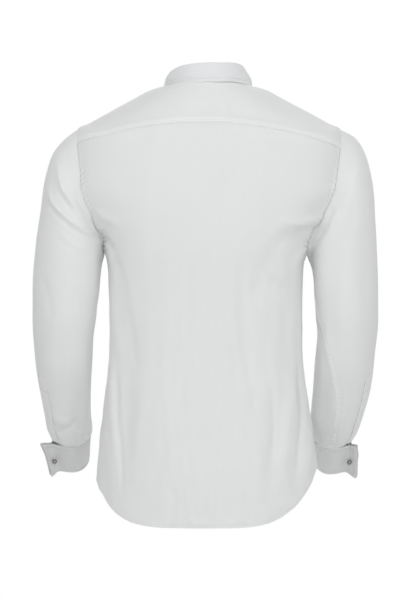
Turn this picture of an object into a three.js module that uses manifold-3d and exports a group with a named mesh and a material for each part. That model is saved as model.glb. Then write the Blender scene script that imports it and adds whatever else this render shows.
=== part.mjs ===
// A long sleeve dress shirt, filled out as when it is worn.
// Millimetres, +Z up, the front facing -Y, the wearer's left at +X.
// The origin is where the wearer holds it up: the middle of the neck opening, level with the inner ends of
// the shoulders. Every cloth piece is a thin wall laid on one body form, or on one sleeve form for each side,
// so that neighbours share their seams.

import * as THREE from "three";
import { mergeVertices } from "three/addons/utils/BufferGeometryUtils.js";
import Module from "manifold-3d";

const wasm = await Module();
wasm.setup();

const DEGREE = Math.PI / 180;
const LEFT = 1;
const RIGHT = -1;
const QUARTER = Math.PI / 2;

/** Rows of values as objects with named columns. */
function table(columns, rows) {
  const names = columns.split(" ");
  return rows.map((row) => Object.fromEntries(row.map((value, i) => [names[i], value])));
}

// Cloth and seams
const CLOTH_WALL = 2;
const BAND_WALL = 1.2;
const COLLAR_WALL = 1.6;
const HALF_GAP = 0.2;
const LAY_GAP = 0.3;

// Body form: closed rings from the neck seam downwards. `at` is the cloth's length below the neck seam at
// the centre back. half: half width; shift: sideways place of the middle; back and front: depth behind and
// before the side line; sideZ, backZ and frontZ: heights; square: 2 is an ellipse, more is boxier.
const BODY_RINGS = table("at half shift back front sideZ backZ frontZ square", [
  [0, 68, -2, 60, 74, -3, 4, -62, 2.05],
  [20, 101, -3.5, 69, 84, -9.5, -13, -76, 2.1],
  [40, 128, -3, 77, 92, -23, -32, -88, 2.15],
  [85, 183, -4, 90, 107, -53, -74, -122, 2.3],
  [112, 211, -4.4, 95, 114, -70, -100, -144, 2.35],
  [130, 231, -4.4, 98, 119, -80, -118, -160, 2.4],
  [170, 238.5, -3.7, 102, 125.5, -132, -156, -185, 2.4],
  [205, 237, -3, 106, 131, -178, -190, -208, 2.4],
  [255, 209, -1, 109, 135, -235, -240, -244, 2.4],
  [305, 179, 1.5, 110, 136, -290, -290, -290, 2.4],
  [345, 171.5, 1.5, 107, 132, -330, -330, -330, 2.4],
  [396, 170, 1.5, 103, 125, -381, -381, -381, 2.35],
  [485, 171.5, 1.5, 102, 119, -470, -470, -470, 2.3],
  [573, 180, 1, 109, 121, -558, -558, -558, 2.3],
  [635, 187, 0, 115, 124, -620, -620, -620, 2.3],
  [693, 193.5, -2, 120, 127, -678, -678, -678, 2.3],
  [815, 199, -3, 124, 129, -800, -800, -800, 2.3],]);
const RIDGE_POWER = 1.7; // how softly a ring rolls over the shoulder line

// Armholes: ovals on the body form, from the shoulder tip to the underarm, by the form's turn and length.
const ARMHOLE = {
  [LEFT]: { top: 130, bottom: 305, backTurn: 12.5 * DEGREE, frontTurn: 24 * DEGREE },
  [RIGHT]: { top: 130, bottom: 315, backTurn: 12.5 * DEGREE, frontTurn: 24 * DEGREE },
};
const ARMHOLE_RADIUS = 200; // of the body form there, which a distance is divided by to make a turn
const UNDERARM_BACK = 308; // the underarm level at the centre back
const MITRE_DIP = 0.02; // turns the walls' mitre a little down, so that it is never level
const MITRE_LONGEST = 1.5; // times the wall
const MITRE_FLATTEST = 0.2;

// Yoke: its back seam dips towards the armholes, and its front seams lie before the shoulder line.
const YOKE_BACK_Z = -75;
const YOKE_BACK_DIP = { [LEFT]: 31, [RIGHT]: 38 };
const YOKE_BACK_REACH = 222;
const YOKE_FRONT_NECK = 62 * DEGREE;
const YOKE_FRONT_TIP = 81 * DEGREE;
const YOKE_FRONT_POWER = 0.6;
const NECK_RADIUS = 68;
const SHOULDER_RADIUS = 230;

// Hem: a shirt tail, highest at the side seams.
const HEM = {
  [LEFT]: { side: 713, back: 74, front: 52, curve: 5.5 },
  [RIGHT]: { side: 687, back: 100, front: 78, curve: 4 },
};
const HEM_RING = 700; // the ring whose width the hem's curve goes by

// Front closing: the left front lies over the right one, with a band along its edge.
const PLACKET_HALF = 17.5;
const OVERLAP_LIFT = 1.7;
const OVERLAP_PLAIN = 7; // beyond the band the overlap is still whole for this distance
const OVERLAP_FADE = 30;
const BAND_FLAT = 6; // half width of the band's middle column
const BAND_INSET = 1; // the band ends this much above the hem
const BAND_START = 1.5; // and starts this much below the neck seam
const BUTTON_RADIUS = 5.7;
const BUTTON_THICK = 2.4;
const BUTTON_COUNT = 7;
const BUTTON_FIRST = 66; // below the neck seam
const BUTTON_STEP = 88;
const BUTTON_GAP = 0.5; // between a button and the band

// Cells of the walls. The sleeve's own columns share those along the armhole's edge.
const ARMHOLE_CELLS = { yoke: 6, back: 9, front: 9 };
const YOKE_ROWS = 6;
const YOKE_BEHIND = 10; // from the armhole's corner to the middle of the back
const BACK_COLUMNS = 28;
const BACK_CELLS = 17; // down the back from the armhole to the hem
const FRONT_COLUMNS = 12;
const FRONT_CROWD = 0.82; // below 1 the columns are closer together at the side
const HEM_CELLS = 14; // down a front from the armhole to the hem
const FRONT_ROWS = YOKE_ROWS + ARMHOLE_CELLS.front + HEM_CELLS + 1;
const BODY_SLENDER = 1.45; // width over depth, by which the back's columns are even along the cloth
const SIDE_GAP_TURN = HALF_GAP / 175;
const CORNER_TURN = 0.004; // keeps the seams that end at an armhole open there

// Soft folds and hollows: lines of [x, z] as seen from the face named, their height off the form and width.
const FOLD_COLUMNS = "face height width line";
const BODY_FOLDS = table(FOLD_COLUMNS, [
  ["back", 3, 9, [[206, -100], [150, -86], [60, -72], [-60, -74], [-150, -90], [-212, -112]]],
  ["back", -3, 12, [[45, -46], [-10, -50], [-75, -60], [-130, -76]]],
  ["back", -5, 15, [[166, -318], [150, -392], [136, -470], [138, -560], [142, -660], [146, -748]]],
  ["back", 4, 13, [[176, -420], [170, -520], [172, -620], [170, -700]]],
  ["back", -4, 16, [[-32, -360], [-56, -430], [-74, -520], [-82, -600]]],
  ["back", -5, 11, [[-168, -470], [-163, -560], [-158, -640], [-150, -735]]],
  ["back", 5, 12, [[-150, -520], [-142, -600], [-134, -690]]],
  ["back", -5, 14, [[-128, -540], [-120, -620], [-112, -720]]],
  ["back", 4, 10, [[-180, -560], [-176, -640], [-168, -710]]],
  ["back", -4, 15, [[-166, -262], [-128, -280], [-100, -330], [-92, -392]]],
  ["back", 4, 14, [[-186, -240], [-150, -252], [-120, -240]]],
  ["front", -4, 18, [[150, -250], [118, -300], [92, -380], [82, -470]]],
  ["front", 4, 16, [[168, -262], [150, -330], [128, -430], [122, -520]]],
  ["front", -4, 18, [[-150, -262], [-116, -312], [-94, -400], [-88, -480]]],
  ["front", 4, 16, [[-168, -276], [-148, -350], [-126, -450], [-120, -560]]],
  ["front", -5, 17, [[128, -470], [134, -570], [140, -690]]],
  ["front", -5, 17, [[-124, -480], [-132, -590], [-138, -700]]],]);

// Sleeve forms: each ring goes from an outer point to an inner point, as seen from behind, and is `deep`
// either way of midY. tilt turns it forwards with the forearm. x grows outwards on both sides.
const SLEEVE_COLUMNS = "at outerX outerZ innerX innerZ midY deep tilt";
const SLEEVE_RINGS = {
  [LEFT]: table(SLEEVE_COLUMNS, [
    [0, 227, -80, 179, -290, -13, 61, 0],
    [34, 250, -97, 180, -295, -12, 65, 0],
    [66, 272, -124, 181, -303, -8, 69, 0],
    [104, 283, -160, 184, -318, -4, 70, 0],
    [156, 292, -214, 187, -344, 0, 69, 2],
    [220, 301, -280, 191, -376, 2, 66, 4],
    [290, 306, -352, 196, -416, 1, 63, 8],
    [344, 307, -412, 199, -440, -4, 60, 13],
    [400, 305, -474, 202, -482, -16, 56, 18],
    [455, 299, -528, 205, -530, -36, 51, 23],
    [515, 290, -582, 207, -583, -61, 45, 29],
    [545, 286, -608, 206, -608, -77, 42, 33],
    [557, 282, -618, 207.5, -618, -84, 39, 35],
    [563, 275.5, -623, 210.5, -623, -87, 35, 36],
    [568, 274.5, -627, 211.5, -627, -90, 34, 36],
  ]),
  [RIGHT]: table(SLEEVE_COLUMNS, [
    [0, 236, -80, 176, -302, -13, 61, 0],
    [34, 263, -95, 180, -308, -12, 65, 0],
    [66, 281, -124, 183, -315, -8, 69, 0],
    [104, 290, -160, 186, -328, -4, 70, 0],
    [156, 297, -214, 189, -350, 0, 69, 2],
    [220, 300, -280, 191, -380, 2, 66, 4],
    [290, 302, -352, 194, -416, 1, 63, 8],
    [344, 303, -412, 196, -440, -4, 60, 13],
    [400, 299, -474, 193, -482, -16, 56, 18],
    [455, 294, -528, 190, -532, -36, 52, 23],
    [515, 279, -586, 187, -588, -61, 47, 29],
    [545, 272, -610, 187, -611, -78, 43, 33],
    [557, 267, -620, 189, -620, -85, 39, 35],
    [563, 257.5, -626, 192.5, -626, -88, 35, 36],
    [568, 256.5, -630, 193.5, -630, -91, 34, 36],
  ]),};
const SLEEVE_END = 568;
const CAP_FADE = 95; // the sleeve leaves the armhole's own oval over this length
const SLEEVE_ROWS = [
  0, 9, 20, 33, 47, 62, 78, 96, 116, 140, 168, 200, 238, 280, 318, 352, 388, 426, 466, 508,
  545, 557, 563, SLEEVE_END,
];

const SLEEVE_FOLDS = {
  [LEFT]: table(FOLD_COLUMNS, [
    ["back", 7, 7, [[264, -138], [258, -172], [240, -205], [214, -232], [192, -252]]],
    ["back", -5, 8, [[270, -150], [264, -186], [246, -214], [218, -244]]],
    ["back", 8, 7, [[279, -170], [275, -200], [256, -228], [226, -252], [196, -264]]],
    ["back", 4, 8, [[236, -150], [228, -190], [206, -222]]],
    ["back", -4, 14, [[262, -262], [240, -280], [216, -296]]],
    ["back", -3, 16, [[282, -300], [266, -350], [262, -410]]],
    ["front", 5, 10, [[262, -160], [244, -210], [206, -256]]],
    ["front", -4, 10, [[250, -150], [228, -205], [200, -240]]],
    ["front", -5, 13, [[300, -420], [262, -436], [216, -430]]],
    ["front", 5, 12, [[296, -452], [258, -464], [212, -456]]],
  ]),
  [RIGHT]: table(FOLD_COLUMNS, [
    ["back", -6, 12, [[204, -190], [196, -236], [186, -280]]],
    ["back", 4, 14, [[232, -200], [214, -260], [202, -320], [200, -400]]],
    ["back", -3, 16, [[276, -250], [268, -310], [272, -380]]],
    ["back", 3, 7, [[204, -402], [214, -460], [224, -540], [226, -610]]],
    ["front", 5, 10, [[268, -160], [246, -214], [200, -276]]],
    ["front", -4, 10, [[252, -156], [226, -215], [194, -262]]],
    ["front", -5, 13, [[298, -424], [258, -440], [208, -434]]],
    ["front", 5, 12, [[292, -456], [252, -470], [204, -462]]],
  ]),};

// Sleeve plackets: pointed bands up from the cuff, over the vent.
const VENT_TURN = { [LEFT]: 42 * DEGREE, [RIGHT]: 36 * DEGREE };
const VENT_LENGTH = 132;
const VENT_HALF = 12;
const VENT_END = 11; // above the sleeve's end
const VENT_POINT = 0.1; // share of the band's length that narrows to the point
const VENT_TIP = 0.06; // width of the point's end, as a share of the band's
const VENT_ACROSS = [-1, -0.33, 0.33, 1];
const BAND_OFF = 0.8; // clears the sleeve's flat faces

// Cuffs: folded double, their ends pressed together into a fin that the link goes through.
const CUFF_RISE = 4; // the turned-back layer stands above the sleeve's end
const CUFF_START = 1; // the inner layer starts this far below the sleeve's end
const CUFF_DEEP = 60;
const CUFF_TAPER = 0.1; // how much narrower its lower edge is
const CUFF_LAYER = 1.3;
const CUFF_SLOT = 0.5;
const CUFF_EASE = 2.8; // room between the sleeve's end and the turned-back layer
const FIN_REACH = 25;
const FIN_HALF_GAP = 4;
const FIN_FLARE = 0.2;
const FIN_TURN = { [LEFT]: 40 * DEGREE, [RIGHT]: 36 * DEGREE };
const CUFF_PLAN = [31.5, 34];
const CUFF_COLUMNS = 35;
const CUFF_LIP = 2.5; // between the ends of the two layers and the fold
const FIN_MIDDLE = 0.45; // share of the depth that the fin's flare leaves where it is
const LINK_FROM_EDGE = 11;
const LINK_DOWN = 30;
const LINK_HOLE = 1.7;
const LINK_POST = 1.2;
const LINK_BALL = 4.3;

// Collar: a stand round the neck and a leaf that folds over it.
const STAND_ROWS = table("at height lean", [
  [0, 27, 0.1],
  [90, 18, 0.1],
  [140, 23.5, 0.06],
  [195, 25, 0.02],
  [230, 28.5, 0.04],
  [242, 28, 0.06],
  [256, 24, 0.08],
  [270, 19.5, 0.1],
  [360, 27, 0.1],]);
const STAND_LAP = 13; // degrees past the centre front
const STAND_LAP_LIFT = 1.1;
const STAND_COLUMNS = 42;
const STAND_GAP = 0.4; // above the neck seam
const STAND_OVERLAP = [25, 60]; // the angles between which the fronts' overlap fades out below it
const ROLL_CENTRE = 1;
const ROLL_RADIUS = 2.4;
const ROLL_RISE = 0.5;
const ROLL_SHARE = 0.22; // share of a row that rolls over the fold
const LEAF_SHIFT = -2.5; // the leaf sits a little to the wearer's right
const LEAF_BOW = { front: 5, back: 2, out: 0.7, up: 0.5 };
// fold: where the row starts on the stand's top; turn and reach: its edge in plan; more: how much further it
// reaches on the wearer's right; lift: above the body
const LEAF_ROWS = table("at fold turn reach more lift", [
  [0, 3.5, 27, 112, 0, 6.5],
  [0.16, 26, 42, 103, 0, 6.5],
  [0.34, 54, 64, 88, 0, 4],
  [0.52, 82, 86, 77.5, 1, 2],
  [0.68, 110, 111, 72, 6, 1.6],
  [0.84, 145, 146, 66.5, 2, 2],
  [1, 180, 180, 63.6, 0, 2.1],]);

/** Slope of a table's column at one row: a monotone cubic's, so that no value overshoots its rows. */
function slopeAt(rows, column, i) {
  const before = i > 0 ? (rows[i][column] - rows[i - 1][column]) / (rows[i].at - rows[i - 1].at) : null;
  const after =
    i < rows.length - 1 ? (rows[i + 1][column] - rows[i][column]) / (rows[i + 1].at - rows[i].at) : null;
  if (before === null) return after;
  if (after === null) return before;
  return before * after <= 0 ? 0 : (2 * before * after) / (before + after);
}

/** Value of a table's column at a place along it. */
function read(rows, column, at) {
  const place = Math.min(Math.max(at, rows[0].at), rows[rows.length - 1].at);
  let i = 0;
  while (i < rows.length - 2 && rows[i + 1].at <= place) i++;
  const width = rows[i + 1].at - rows[i].at;
  const t = (place - rows[i].at) / width;
  const [t2, t3] = [t * t, t * t * t];
  return (
    (2 * t3 - 3 * t2 + 1) * rows[i][column] +
    (t3 - 2 * t2 + t) * width * slopeAt(rows, column, i) +
    (3 * t2 - 2 * t3) * rows[i + 1][column] +
    (t3 - t2) * width * slopeAt(rows, column, i + 1)
  );
}

const mix = (a, b, t) => a + (b - a) * t;

/** 0 below a, 1 above b, smooth between. */
function ease(a, b, value) {
  const t = Math.min(Math.max((value - a) / (b - a), 0), 1);
  return t * t * (3 - 2 * t);
}

/** Largest value below which `isBelow` holds, by halving. */
function halve(low, high, isBelow) {
  let [a, b] = [low, high];
  for (let i = 0; i < 40; i++) {
    const middle = (a + b) / 2;
    if (isBelow(middle)) a = middle;
    else b = middle;
  }
  return (a + b) / 2;
}

/** Height of all folds of one face at a place: a bell across each line, fading at its ends. */
function foldHeight(folds, face, x, z) {
  let sum = 0;
  for (const fold of folds) {
    if (fold.face !== face) continue;
    const last = fold.line.length - 1;
    let [nearest, share] = [Infinity, 0];
    for (let i = 0; i < last; i++) {
      const [ax, az] = fold.line[i];
      const [bx, bz] = fold.line[i + 1];
      const [dx, dz] = [bx - ax, bz - az];
      const t = Math.min(Math.max(((x - ax) * dx + (z - az) * dz) / (dx * dx + dz * dz), 0), 1);
      const distance = Math.hypot(x - ax - t * dx, z - az - t * dz);
      if (distance < nearest) [nearest, share] = [distance, (i + t) / last];
    }
    const ends = ease(0, 0.25, share) * ease(0, 0.25, 1 - share);
    sum += fold.height * Math.exp(-((nearest / fold.width) ** 2)) * ends;
  }
  return sum;
}

/** Point of the plain body form. turn is 0 at the centre front and a quarter turn at the wearer's left. */
function ringPoint(turn, down) {
  const [sin, cos] = [Math.sin(turn), -Math.cos(turn)];
  const half = read(BODY_RINGS, "half", down);
  const depth = read(BODY_RINGS, cos > 0 ? "back" : "front", down);
  const square = read(BODY_RINGS, "square", down);
  const radius = (Math.abs(sin / half) ** square + Math.abs(cos / depth) ** square) ** (-1 / square);
  const sideZ = read(BODY_RINGS, "sideZ", down);
  const farZ = read(BODY_RINGS, cos > 0 ? "backZ" : "frontZ", down);
  const share = Math.min(1, (radius * Math.abs(cos)) / depth);
  const z = mix(sideZ, farZ, share ** RIDGE_POWER);
  return new THREE.Vector3(read(BODY_RINGS, "shift", down) + radius * sin, radius * cos, z);
}

/** Outward normal of a surface of two parameters, turned round for the mirrored side. */
function normalOf(surface, turn, down, side, turnStep, downStep) {
  const around = surface(turn + turnStep, down).sub(surface(turn - turnStep, down));
  const below = surface(turn, down + downStep).sub(surface(turn, down - downStep));
  return below.cross(around).normalize().multiplyScalar(side);
}

/** Point of the body form with its folds, which fade out at the side line. */
function bodyPoint(turn, down) {
  const point = ringPoint(turn, down);
  const face = point.y > 0 ? "back" : "front";
  const height = foldHeight(BODY_FOLDS, face, point.x, point.z) * ease(0, 45, Math.abs(point.y));
  if (height === 0) return point;
  return point.addScaledVector(normalOf(ringPoint, turn, down, LEFT, 0.01, 1), height);
}

const bodyNormal = (turn, down) => normalOf(bodyPoint, turn, down, LEFT, 0.008, 1);

/** Turn on one side of the body: the right side mirrors the left. */
const turnOn = (side, turn) => (side === LEFT ? turn : 2 * Math.PI - turn);

/** Place on an armhole's oval, grown into the body. Angle 0 is the shoulder tip, a quarter turn the back. */
function armholePlace(side, angle, grow) {
  const hole = ARMHOLE[side];
  const [middle, half] = [(hole.top + hole.bottom) / 2, (hole.bottom - hole.top) / 2 + grow];
  const width = (Math.sin(angle) > 0 ? hole.backTurn : hole.frontTurn) + grow / ARMHOLE_RADIUS;
  return [turnOn(side, Math.PI / 2 + width * Math.sin(angle)), middle - half * Math.cos(angle)];
}

/** Angle on an armhole's oval at a length below the neck seam, at its back (1) or front (-1) edge. */
function armholeAngle(side, down, edge) {
  const hole = ARMHOLE[side];
  const [middle, half] = [(hole.top + hole.bottom) / 2, (hole.bottom - hole.top) / 2];
  return edge * Math.acos(Math.min(1, Math.max(-1, (middle - down) / half)));
}

/** Height of the yoke's back seam at a sideways place. */
const yokeBackZ = (x) => YOKE_BACK_Z - YOKE_BACK_DIP[x > 0 ? LEFT : RIGHT] * (x / YOKE_BACK_REACH) ** 2;

/** Length below the neck seam at which the yoke's back seam crosses a turn. */
const yokeBackDown = (turn) =>
  halve(20, 200, (down) => {
    const point = ringPoint(turn, down);
    return point.z > yokeBackZ(point.x);
  });

/** Angle on the armhole's oval where the yoke's back seam ends. */
const yokeCorner = (side) =>
  halve(0.05, 1.5, (angle) => {
    const point = ringPoint(...armholePlace(side, angle, 0));
    return point.z > yokeBackZ(point.x);
  });

/** Length below the neck seam where the yoke's front seam meets the armhole. */
function yokeFrontDown(side) {
  const hole = ARMHOLE[side];
  const share = (Math.PI / 2 - YOKE_FRONT_TIP) / hole.frontTurn;
  return (hole.top + hole.bottom) / 2 - ((hole.bottom - hole.top) / 2) * Math.sqrt(1 - share ** 2);
}

/** Angles of the corners on an armhole's oval: over the yoke, and down the back and front to the end. */
function armholeAngles(side) {
  const tip = armholeAngle(side, yokeFrontDown(side), -1);
  const corner = yokeCorner(side);
  const list = (cells, from, to) => Array.from({ length: cells + 1 }, (_, i) => mix(from, to, i / cells));
  return {
    yoke: list(ARMHOLE_CELLS.yoke, tip, corner),
    back: list(ARMHOLE_CELLS.back, corner, Math.PI),
    front: list(ARMHOLE_CELLS.front, tip, -Math.PI),
  };
}

const EDGE_ANGLES = { [LEFT]: armholeAngles(LEFT), [RIGHT]: armholeAngles(RIGHT) };

/** Turn of the yoke's front seam, on the left side, at a share of its way from the neck to the armhole. */
const yokeFrontTurn = (share) => mix(YOKE_FRONT_NECK, YOKE_FRONT_TIP, share ** YOKE_FRONT_POWER);

/** Half the gap at the yoke's front seam as a turn, at a share of its way. */
const yokeGapTurn = (share) => HALF_GAP / mix(NECK_RADIUS, SHOULDER_RADIUS, share);

/** Length below the neck seam of the hem, at a turn. */
function hemDown(turn) {
  const { side, back, front, curve } = HEM[Math.sin(turn) > 0 ? LEFT : RIGHT];
  const point = ringPoint(turn, HEM_RING);
  const share = Math.abs(point.x - read(BODY_RINGS, "shift", HEM_RING)) / read(BODY_RINGS, "half", HEM_RING);
  return side + (point.y > 0 ? back : front) * (1 - Math.min(1, share) ** curve);
}

/** Length below the neck seam of the underarm's level at a turn. */
function underarmDown(turn) {
  const side = Math.sin(turn) > 0 ? LEFT : RIGHT;
  return mix(UNDERARM_BACK, ARMHOLE[side].bottom, Math.sin(turn) ** 2);
}

/** Point of the plain sleeve form. Angle 0 is outermost and a quarter turn is at the back. */
function sleeveRing(side, angle, along) {
  const value = (column) => read(SLEEVE_RINGS[side], column, along);
  const [cos, sin, tilt] = [Math.cos(angle), Math.sin(angle), value("tilt") * DEGREE];
  const [outerX, innerX, outerZ, innerZ] = ["outerX", "innerX", "outerZ", "innerZ"].map(value);
  return new THREE.Vector3(
    side * mix(innerX, outerX, (1 + cos) / 2),
    value("midY") + sin * value("deep") * Math.cos(tilt),
    mix(innerZ, outerZ, (1 + cos) / 2) - sin * value("deep") * Math.sin(tilt),
  );
}

/** Sleeve form started from the armhole's own oval, without folds. */
function sleeveSmooth(side, angle, along) {
  const point = sleeveRing(side, angle, along);
  const stay = 1 - ease(0, CAP_FADE, along);
  if (stay === 0) return point;
  const oval = bodyPoint(...armholePlace(side, angle, -HALF_GAP));
  return point.addScaledVector(oval.sub(sleeveRing(side, angle, 0)), stay);
}

/** Sleeve form with its folds, which fade out at its two ends and at the outer and inner lines. */
function sleevePoint(side, angle, along) {
  const point = sleeveSmooth(side, angle, along);
  const face = Math.sin(angle) > 0 ? "back" : "front";
  const ends = ease(8, 50, along) * ease(0, 22, SLEEVE_END - along);
  const fade = ease(0, 0.5, Math.abs(Math.sin(angle))) * ends;
  const height = foldHeight(SLEEVE_FOLDS[side], face, side * point.x, point.z) * fade;
  if (height === 0) return point;
  const smooth = (a, l) => sleeveSmooth(side, a, l);
  return point.addScaledVector(normalOf(smooth, angle, along, side, 0.02, 1), height);
}

function sleeveNormal(side, angle, along) {
  const place = Math.min(Math.max(along, 1), SLEEVE_END - 1);
  return normalOf((a, l) => sleevePoint(side, a, l), angle, place, side, 0.02, 1);
}

/** Way through the wall at the armhole seam, halfway between body and sleeve, so that their edges match. */
function armholeMitre(side, angle) {
  const body = bodyNormal(...armholePlace(side, angle, 0));
  const sleeve = sleeveNormal(side, angle, 4);
  const between = body.clone().add(sleeve);
  between.z -= MITRE_DIP;
  between.normalize();
  const share = Math.min(MITRE_LONGEST, 1 / Math.max(MITRE_FLATTEST, between.dot(body)));
  return between.multiplyScalar(-CLOTH_WALL * share);
}

/** Closed thin wall on a grid. place(i, j) gives outer and inner; a round one joins its ends. */
function wall(rows, columns, place, { round = false, mirrored = false } = {}) {
  const positions = [];
  for (const layer of ["outer", "inner"])
    for (let i = 0; i < rows; i++)
      for (let j = 0; j < columns; j++) {
        const { x, y, z } = place(i, j)[layer];
        positions.push(x, y, z);
      }
  const index = [];
  const outer = (i, j) => i * columns + (j % columns);
  const inner = (i, j) => rows * columns + outer(i, j);
  const face = (a, b, c, d) => {
    if (mirrored) index.push(a, c, b, a, d, c);
    else index.push(a, b, c, a, c, d);
  };
  const across = round ? columns : columns - 1;
  for (let i = 0; i < rows - 1; i++)
    for (let j = 0; j < across; j++) {
      face(outer(i, j), outer(i + 1, j), outer(i + 1, j + 1), outer(i, j + 1));
      face(inner(i, j), inner(i, j + 1), inner(i + 1, j + 1), inner(i + 1, j));
    }
  for (let j = 0; j < across; j++) {
    face(outer(0, j), outer(0, j + 1), inner(0, j + 1), inner(0, j));
    face(outer(rows - 1, j + 1), outer(rows - 1, j), inner(rows - 1, j), inner(rows - 1, j + 1));
  }
  if (!round)
    for (let i = 0; i < rows - 1; i++) {
      face(outer(i + 1, 0), outer(i, 0), inner(i, 0), inner(i + 1, 0));
      const end = columns - 1;
      face(outer(i, end), outer(i + 1, end), inner(i + 1, end), inner(i, end));
    }
  const geometry = new THREE.BufferGeometry();
  geometry.setAttribute("position", new THREE.Float32BufferAttribute(positions, 3));
  geometry.setIndex(index);
  return geometry;
}

/** Wall of the body form at a turn and a length, moved off the form by lift. */
function bodyWall(turn, down, lift = 0, thick = CLOTH_WALL) {
  const normal = bodyNormal(turn, down);
  const outer = bodyPoint(turn, down).addScaledVector(normal, lift);
  return { outer, inner: outer.clone().addScaledVector(normal, -thick) };
}

/** Wall of the body form on an armhole's edge. */
function armholeWall(side, angle) {
  const outer = bodyPoint(...armholePlace(side, angle, HALF_GAP));
  return { outer, inner: outer.clone().add(armholeMitre(side, angle)) };
}

/** Evenly spaced shares from 0 to 1. */
const shares = (count) => Array.from({ length: count + 1 }, (_, i) => i / count);

/** Shares of the way down to the underarm of the corners on one part of an armhole's edge. */
const ovalShares = (angles) =>
  angles.map((angle) => (Math.cos(angles[0]) - Math.cos(angle)) / (Math.cos(angles[0]) + 1));

/** Turn from the side (0) to the middle (1) of the body, so that columns are even along the cloth. */
function spread(t) {
  const angle = (1 - t) * QUARTER;
  return Math.atan2(BODY_SLENDER * Math.sin(angle), Math.cos(angle));
}

/** The back below the yoke. */
function backPanel() {
  const columns = BACK_COLUMNS;
  const above = { [LEFT]: ovalShares(EDGE_ANGLES[LEFT].back), [RIGHT]: ovalShares(EDGE_ANGLES[RIGHT].back) };
  const below = shares(BACK_CELLS).slice(1);
  const cells = ARMHOLE_CELLS.back;
  return wall(cells + 1 + below.length, columns, (i, j) => {
    const across = j / (columns - 1);
    const side = across <= 0.5 ? LEFT : RIGHT;
    const edge = j === 0 || j === columns - 1;
    const angle = i <= cells ? EDGE_ANGLES[side].back[i] : Math.PI;
    if (edge && i <= cells) return armholeWall(side, angle + (i === 0 ? CORNER_TURN : 0));
    const t = side === LEFT ? 2 * across : 2 - 2 * across;
    let edgeTurn = QUARTER + SIDE_GAP_TURN;
    if (i <= cells) edgeTurn = turnOn(side, armholePlace(side, angle, HALF_GAP)[0]);
    const turn = turnOn(side, Math.PI - (spread(t) * (Math.PI - edgeTurn)) / QUARTER);
    if (i > cells) return bodyWall(turn, mix(underarmDown(turn), hemDown(turn), below[i - cells - 1]));
    const share = mix(above[LEFT][i], above[RIGHT][i], ease(0.2, 0.8, across));
    return bodyWall(turn, mix(yokeBackDown(turn) + HALF_GAP, underarmDown(turn), share));
  });
}

/** The yoke: across the upper back and over both shoulders to its two front seams. */
function yokePanel() {
  const rows = shares(YOKE_ROWS);
  const over = ARMHOLE_CELLS.yoke; // cells over the shoulder
  const columns = 2 * (over + YOKE_BEHIND) + 1;
  return wall(rows.length, columns, (i, j) => {
    const side = j <= over + YOKE_BEHIND ? LEFT : RIGHT;
    const k = side === LEFT ? j : columns - 1 - j;
    const { yoke } = EDGE_ANGLES[side];
    const atEdge = k <= over && i === rows.length - 1;
    if (atEdge) return armholeWall(side, yoke[k] - (k === over ? CORNER_TURN : 0));
    const leftTurn = (angle) => turnOn(side, armholePlace(side, angle, 0)[0]);
    const start = leftTurn(yoke[0]);
    let outerTurn = mix(leftTurn(yoke[over]), Math.PI, (k - over) / YOKE_BEHIND);
    if (k <= over) outerTurn = leftTurn(yoke[k]);
    let edgeDown = yokeBackDown(turnOn(side, outerTurn)) - HALF_GAP;
    if (k <= over) edgeDown = armholePlace(side, yoke[k], HALF_GAP)[1];
    const seamTurn = yokeFrontTurn(rows[i]) + yokeGapTurn(rows[i]);
    const turn = mix(seamTurn, Math.PI, (outerTurn - start) / (Math.PI - start));
    return bodyWall(turnOn(side, turn), rows[i] * edgeDown);
  });
}

/** How far a front lies off the form where the two fronts overlap: the left one out, the right one in. */
function overlapLift(side, x) {
  const faded = ease(PLACKET_HALF + OVERLAP_PLAIN, PLACKET_HALF + OVERLAP_FADE, side * x);
  return side * OVERLAP_LIFT * (1 - faded);
}

/** Turn, on the left side, at a sideways distance before the centre front. */
const frontTurn = (x, down) => Math.atan2(x, read(BODY_RINGS, "front", down));

/** Wall of one front at a place, lifted where the fronts overlap. */
function frontWall(side, turn, down) {
  const x = ringPoint(turn, down).x - read(BODY_RINGS, "shift", down);
  return bodyWall(turn, down, overlapLift(side, x));
}

/** Length below the neck seam of one of a front's rows, at a turn. */
function frontDown(side, i, turn) {
  const [tip, bottom] = [yokeFrontDown(side), ARMHOLE[side].bottom];
  const under = YOKE_ROWS + ARMHOLE_CELLS.front;
  if (i < YOKE_ROWS) return (i / YOKE_ROWS) * tip;
  if (i <= under) return mix(tip, bottom, ovalShares(EDGE_ANGLES[side].front)[i - YOKE_ROWS]);
  return mix(bottom, hemDown(turn), (i - under) / HEM_CELLS);
}

/** One front, from the neck and the yoke's front seam to the hem. */
function frontPanel(side) {
  const columns = FRONT_COLUMNS;
  const under = YOKE_ROWS + ARMHOLE_CELLS.front;
  const place = (i, j) => {
    const k = side === LEFT ? j : columns - 1 - j;
    const beside = i >= YOKE_ROWS && i <= under;
    const angle = beside ? EDGE_ANGLES[side].front[i - YOKE_ROWS] : 0;
    if (k === columns - 1 && beside) return armholeWall(side, angle - (i === YOKE_ROWS ? CORNER_TURN : 0));
    let edgeTurn = QUARTER - SIDE_GAP_TURN;
    if (i < YOKE_ROWS) edgeTurn = yokeFrontTurn(i / YOKE_ROWS) - yokeGapTurn(i / YOKE_ROWS);
    if (beside) edgeTurn = turnOn(side, armholePlace(side, angle, HALF_GAP)[0]);
    const start = frontTurn(-PLACKET_HALF, i > under ? HEM_RING : frontDown(side, i, 0));
    const turn = turnOn(side, mix(start, edgeTurn, (k / (columns - 1)) ** FRONT_CROWD));
    return frontWall(side, turn, frontDown(side, i, turn));
  };
  return wall(FRONT_ROWS, columns, place);
}

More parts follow.
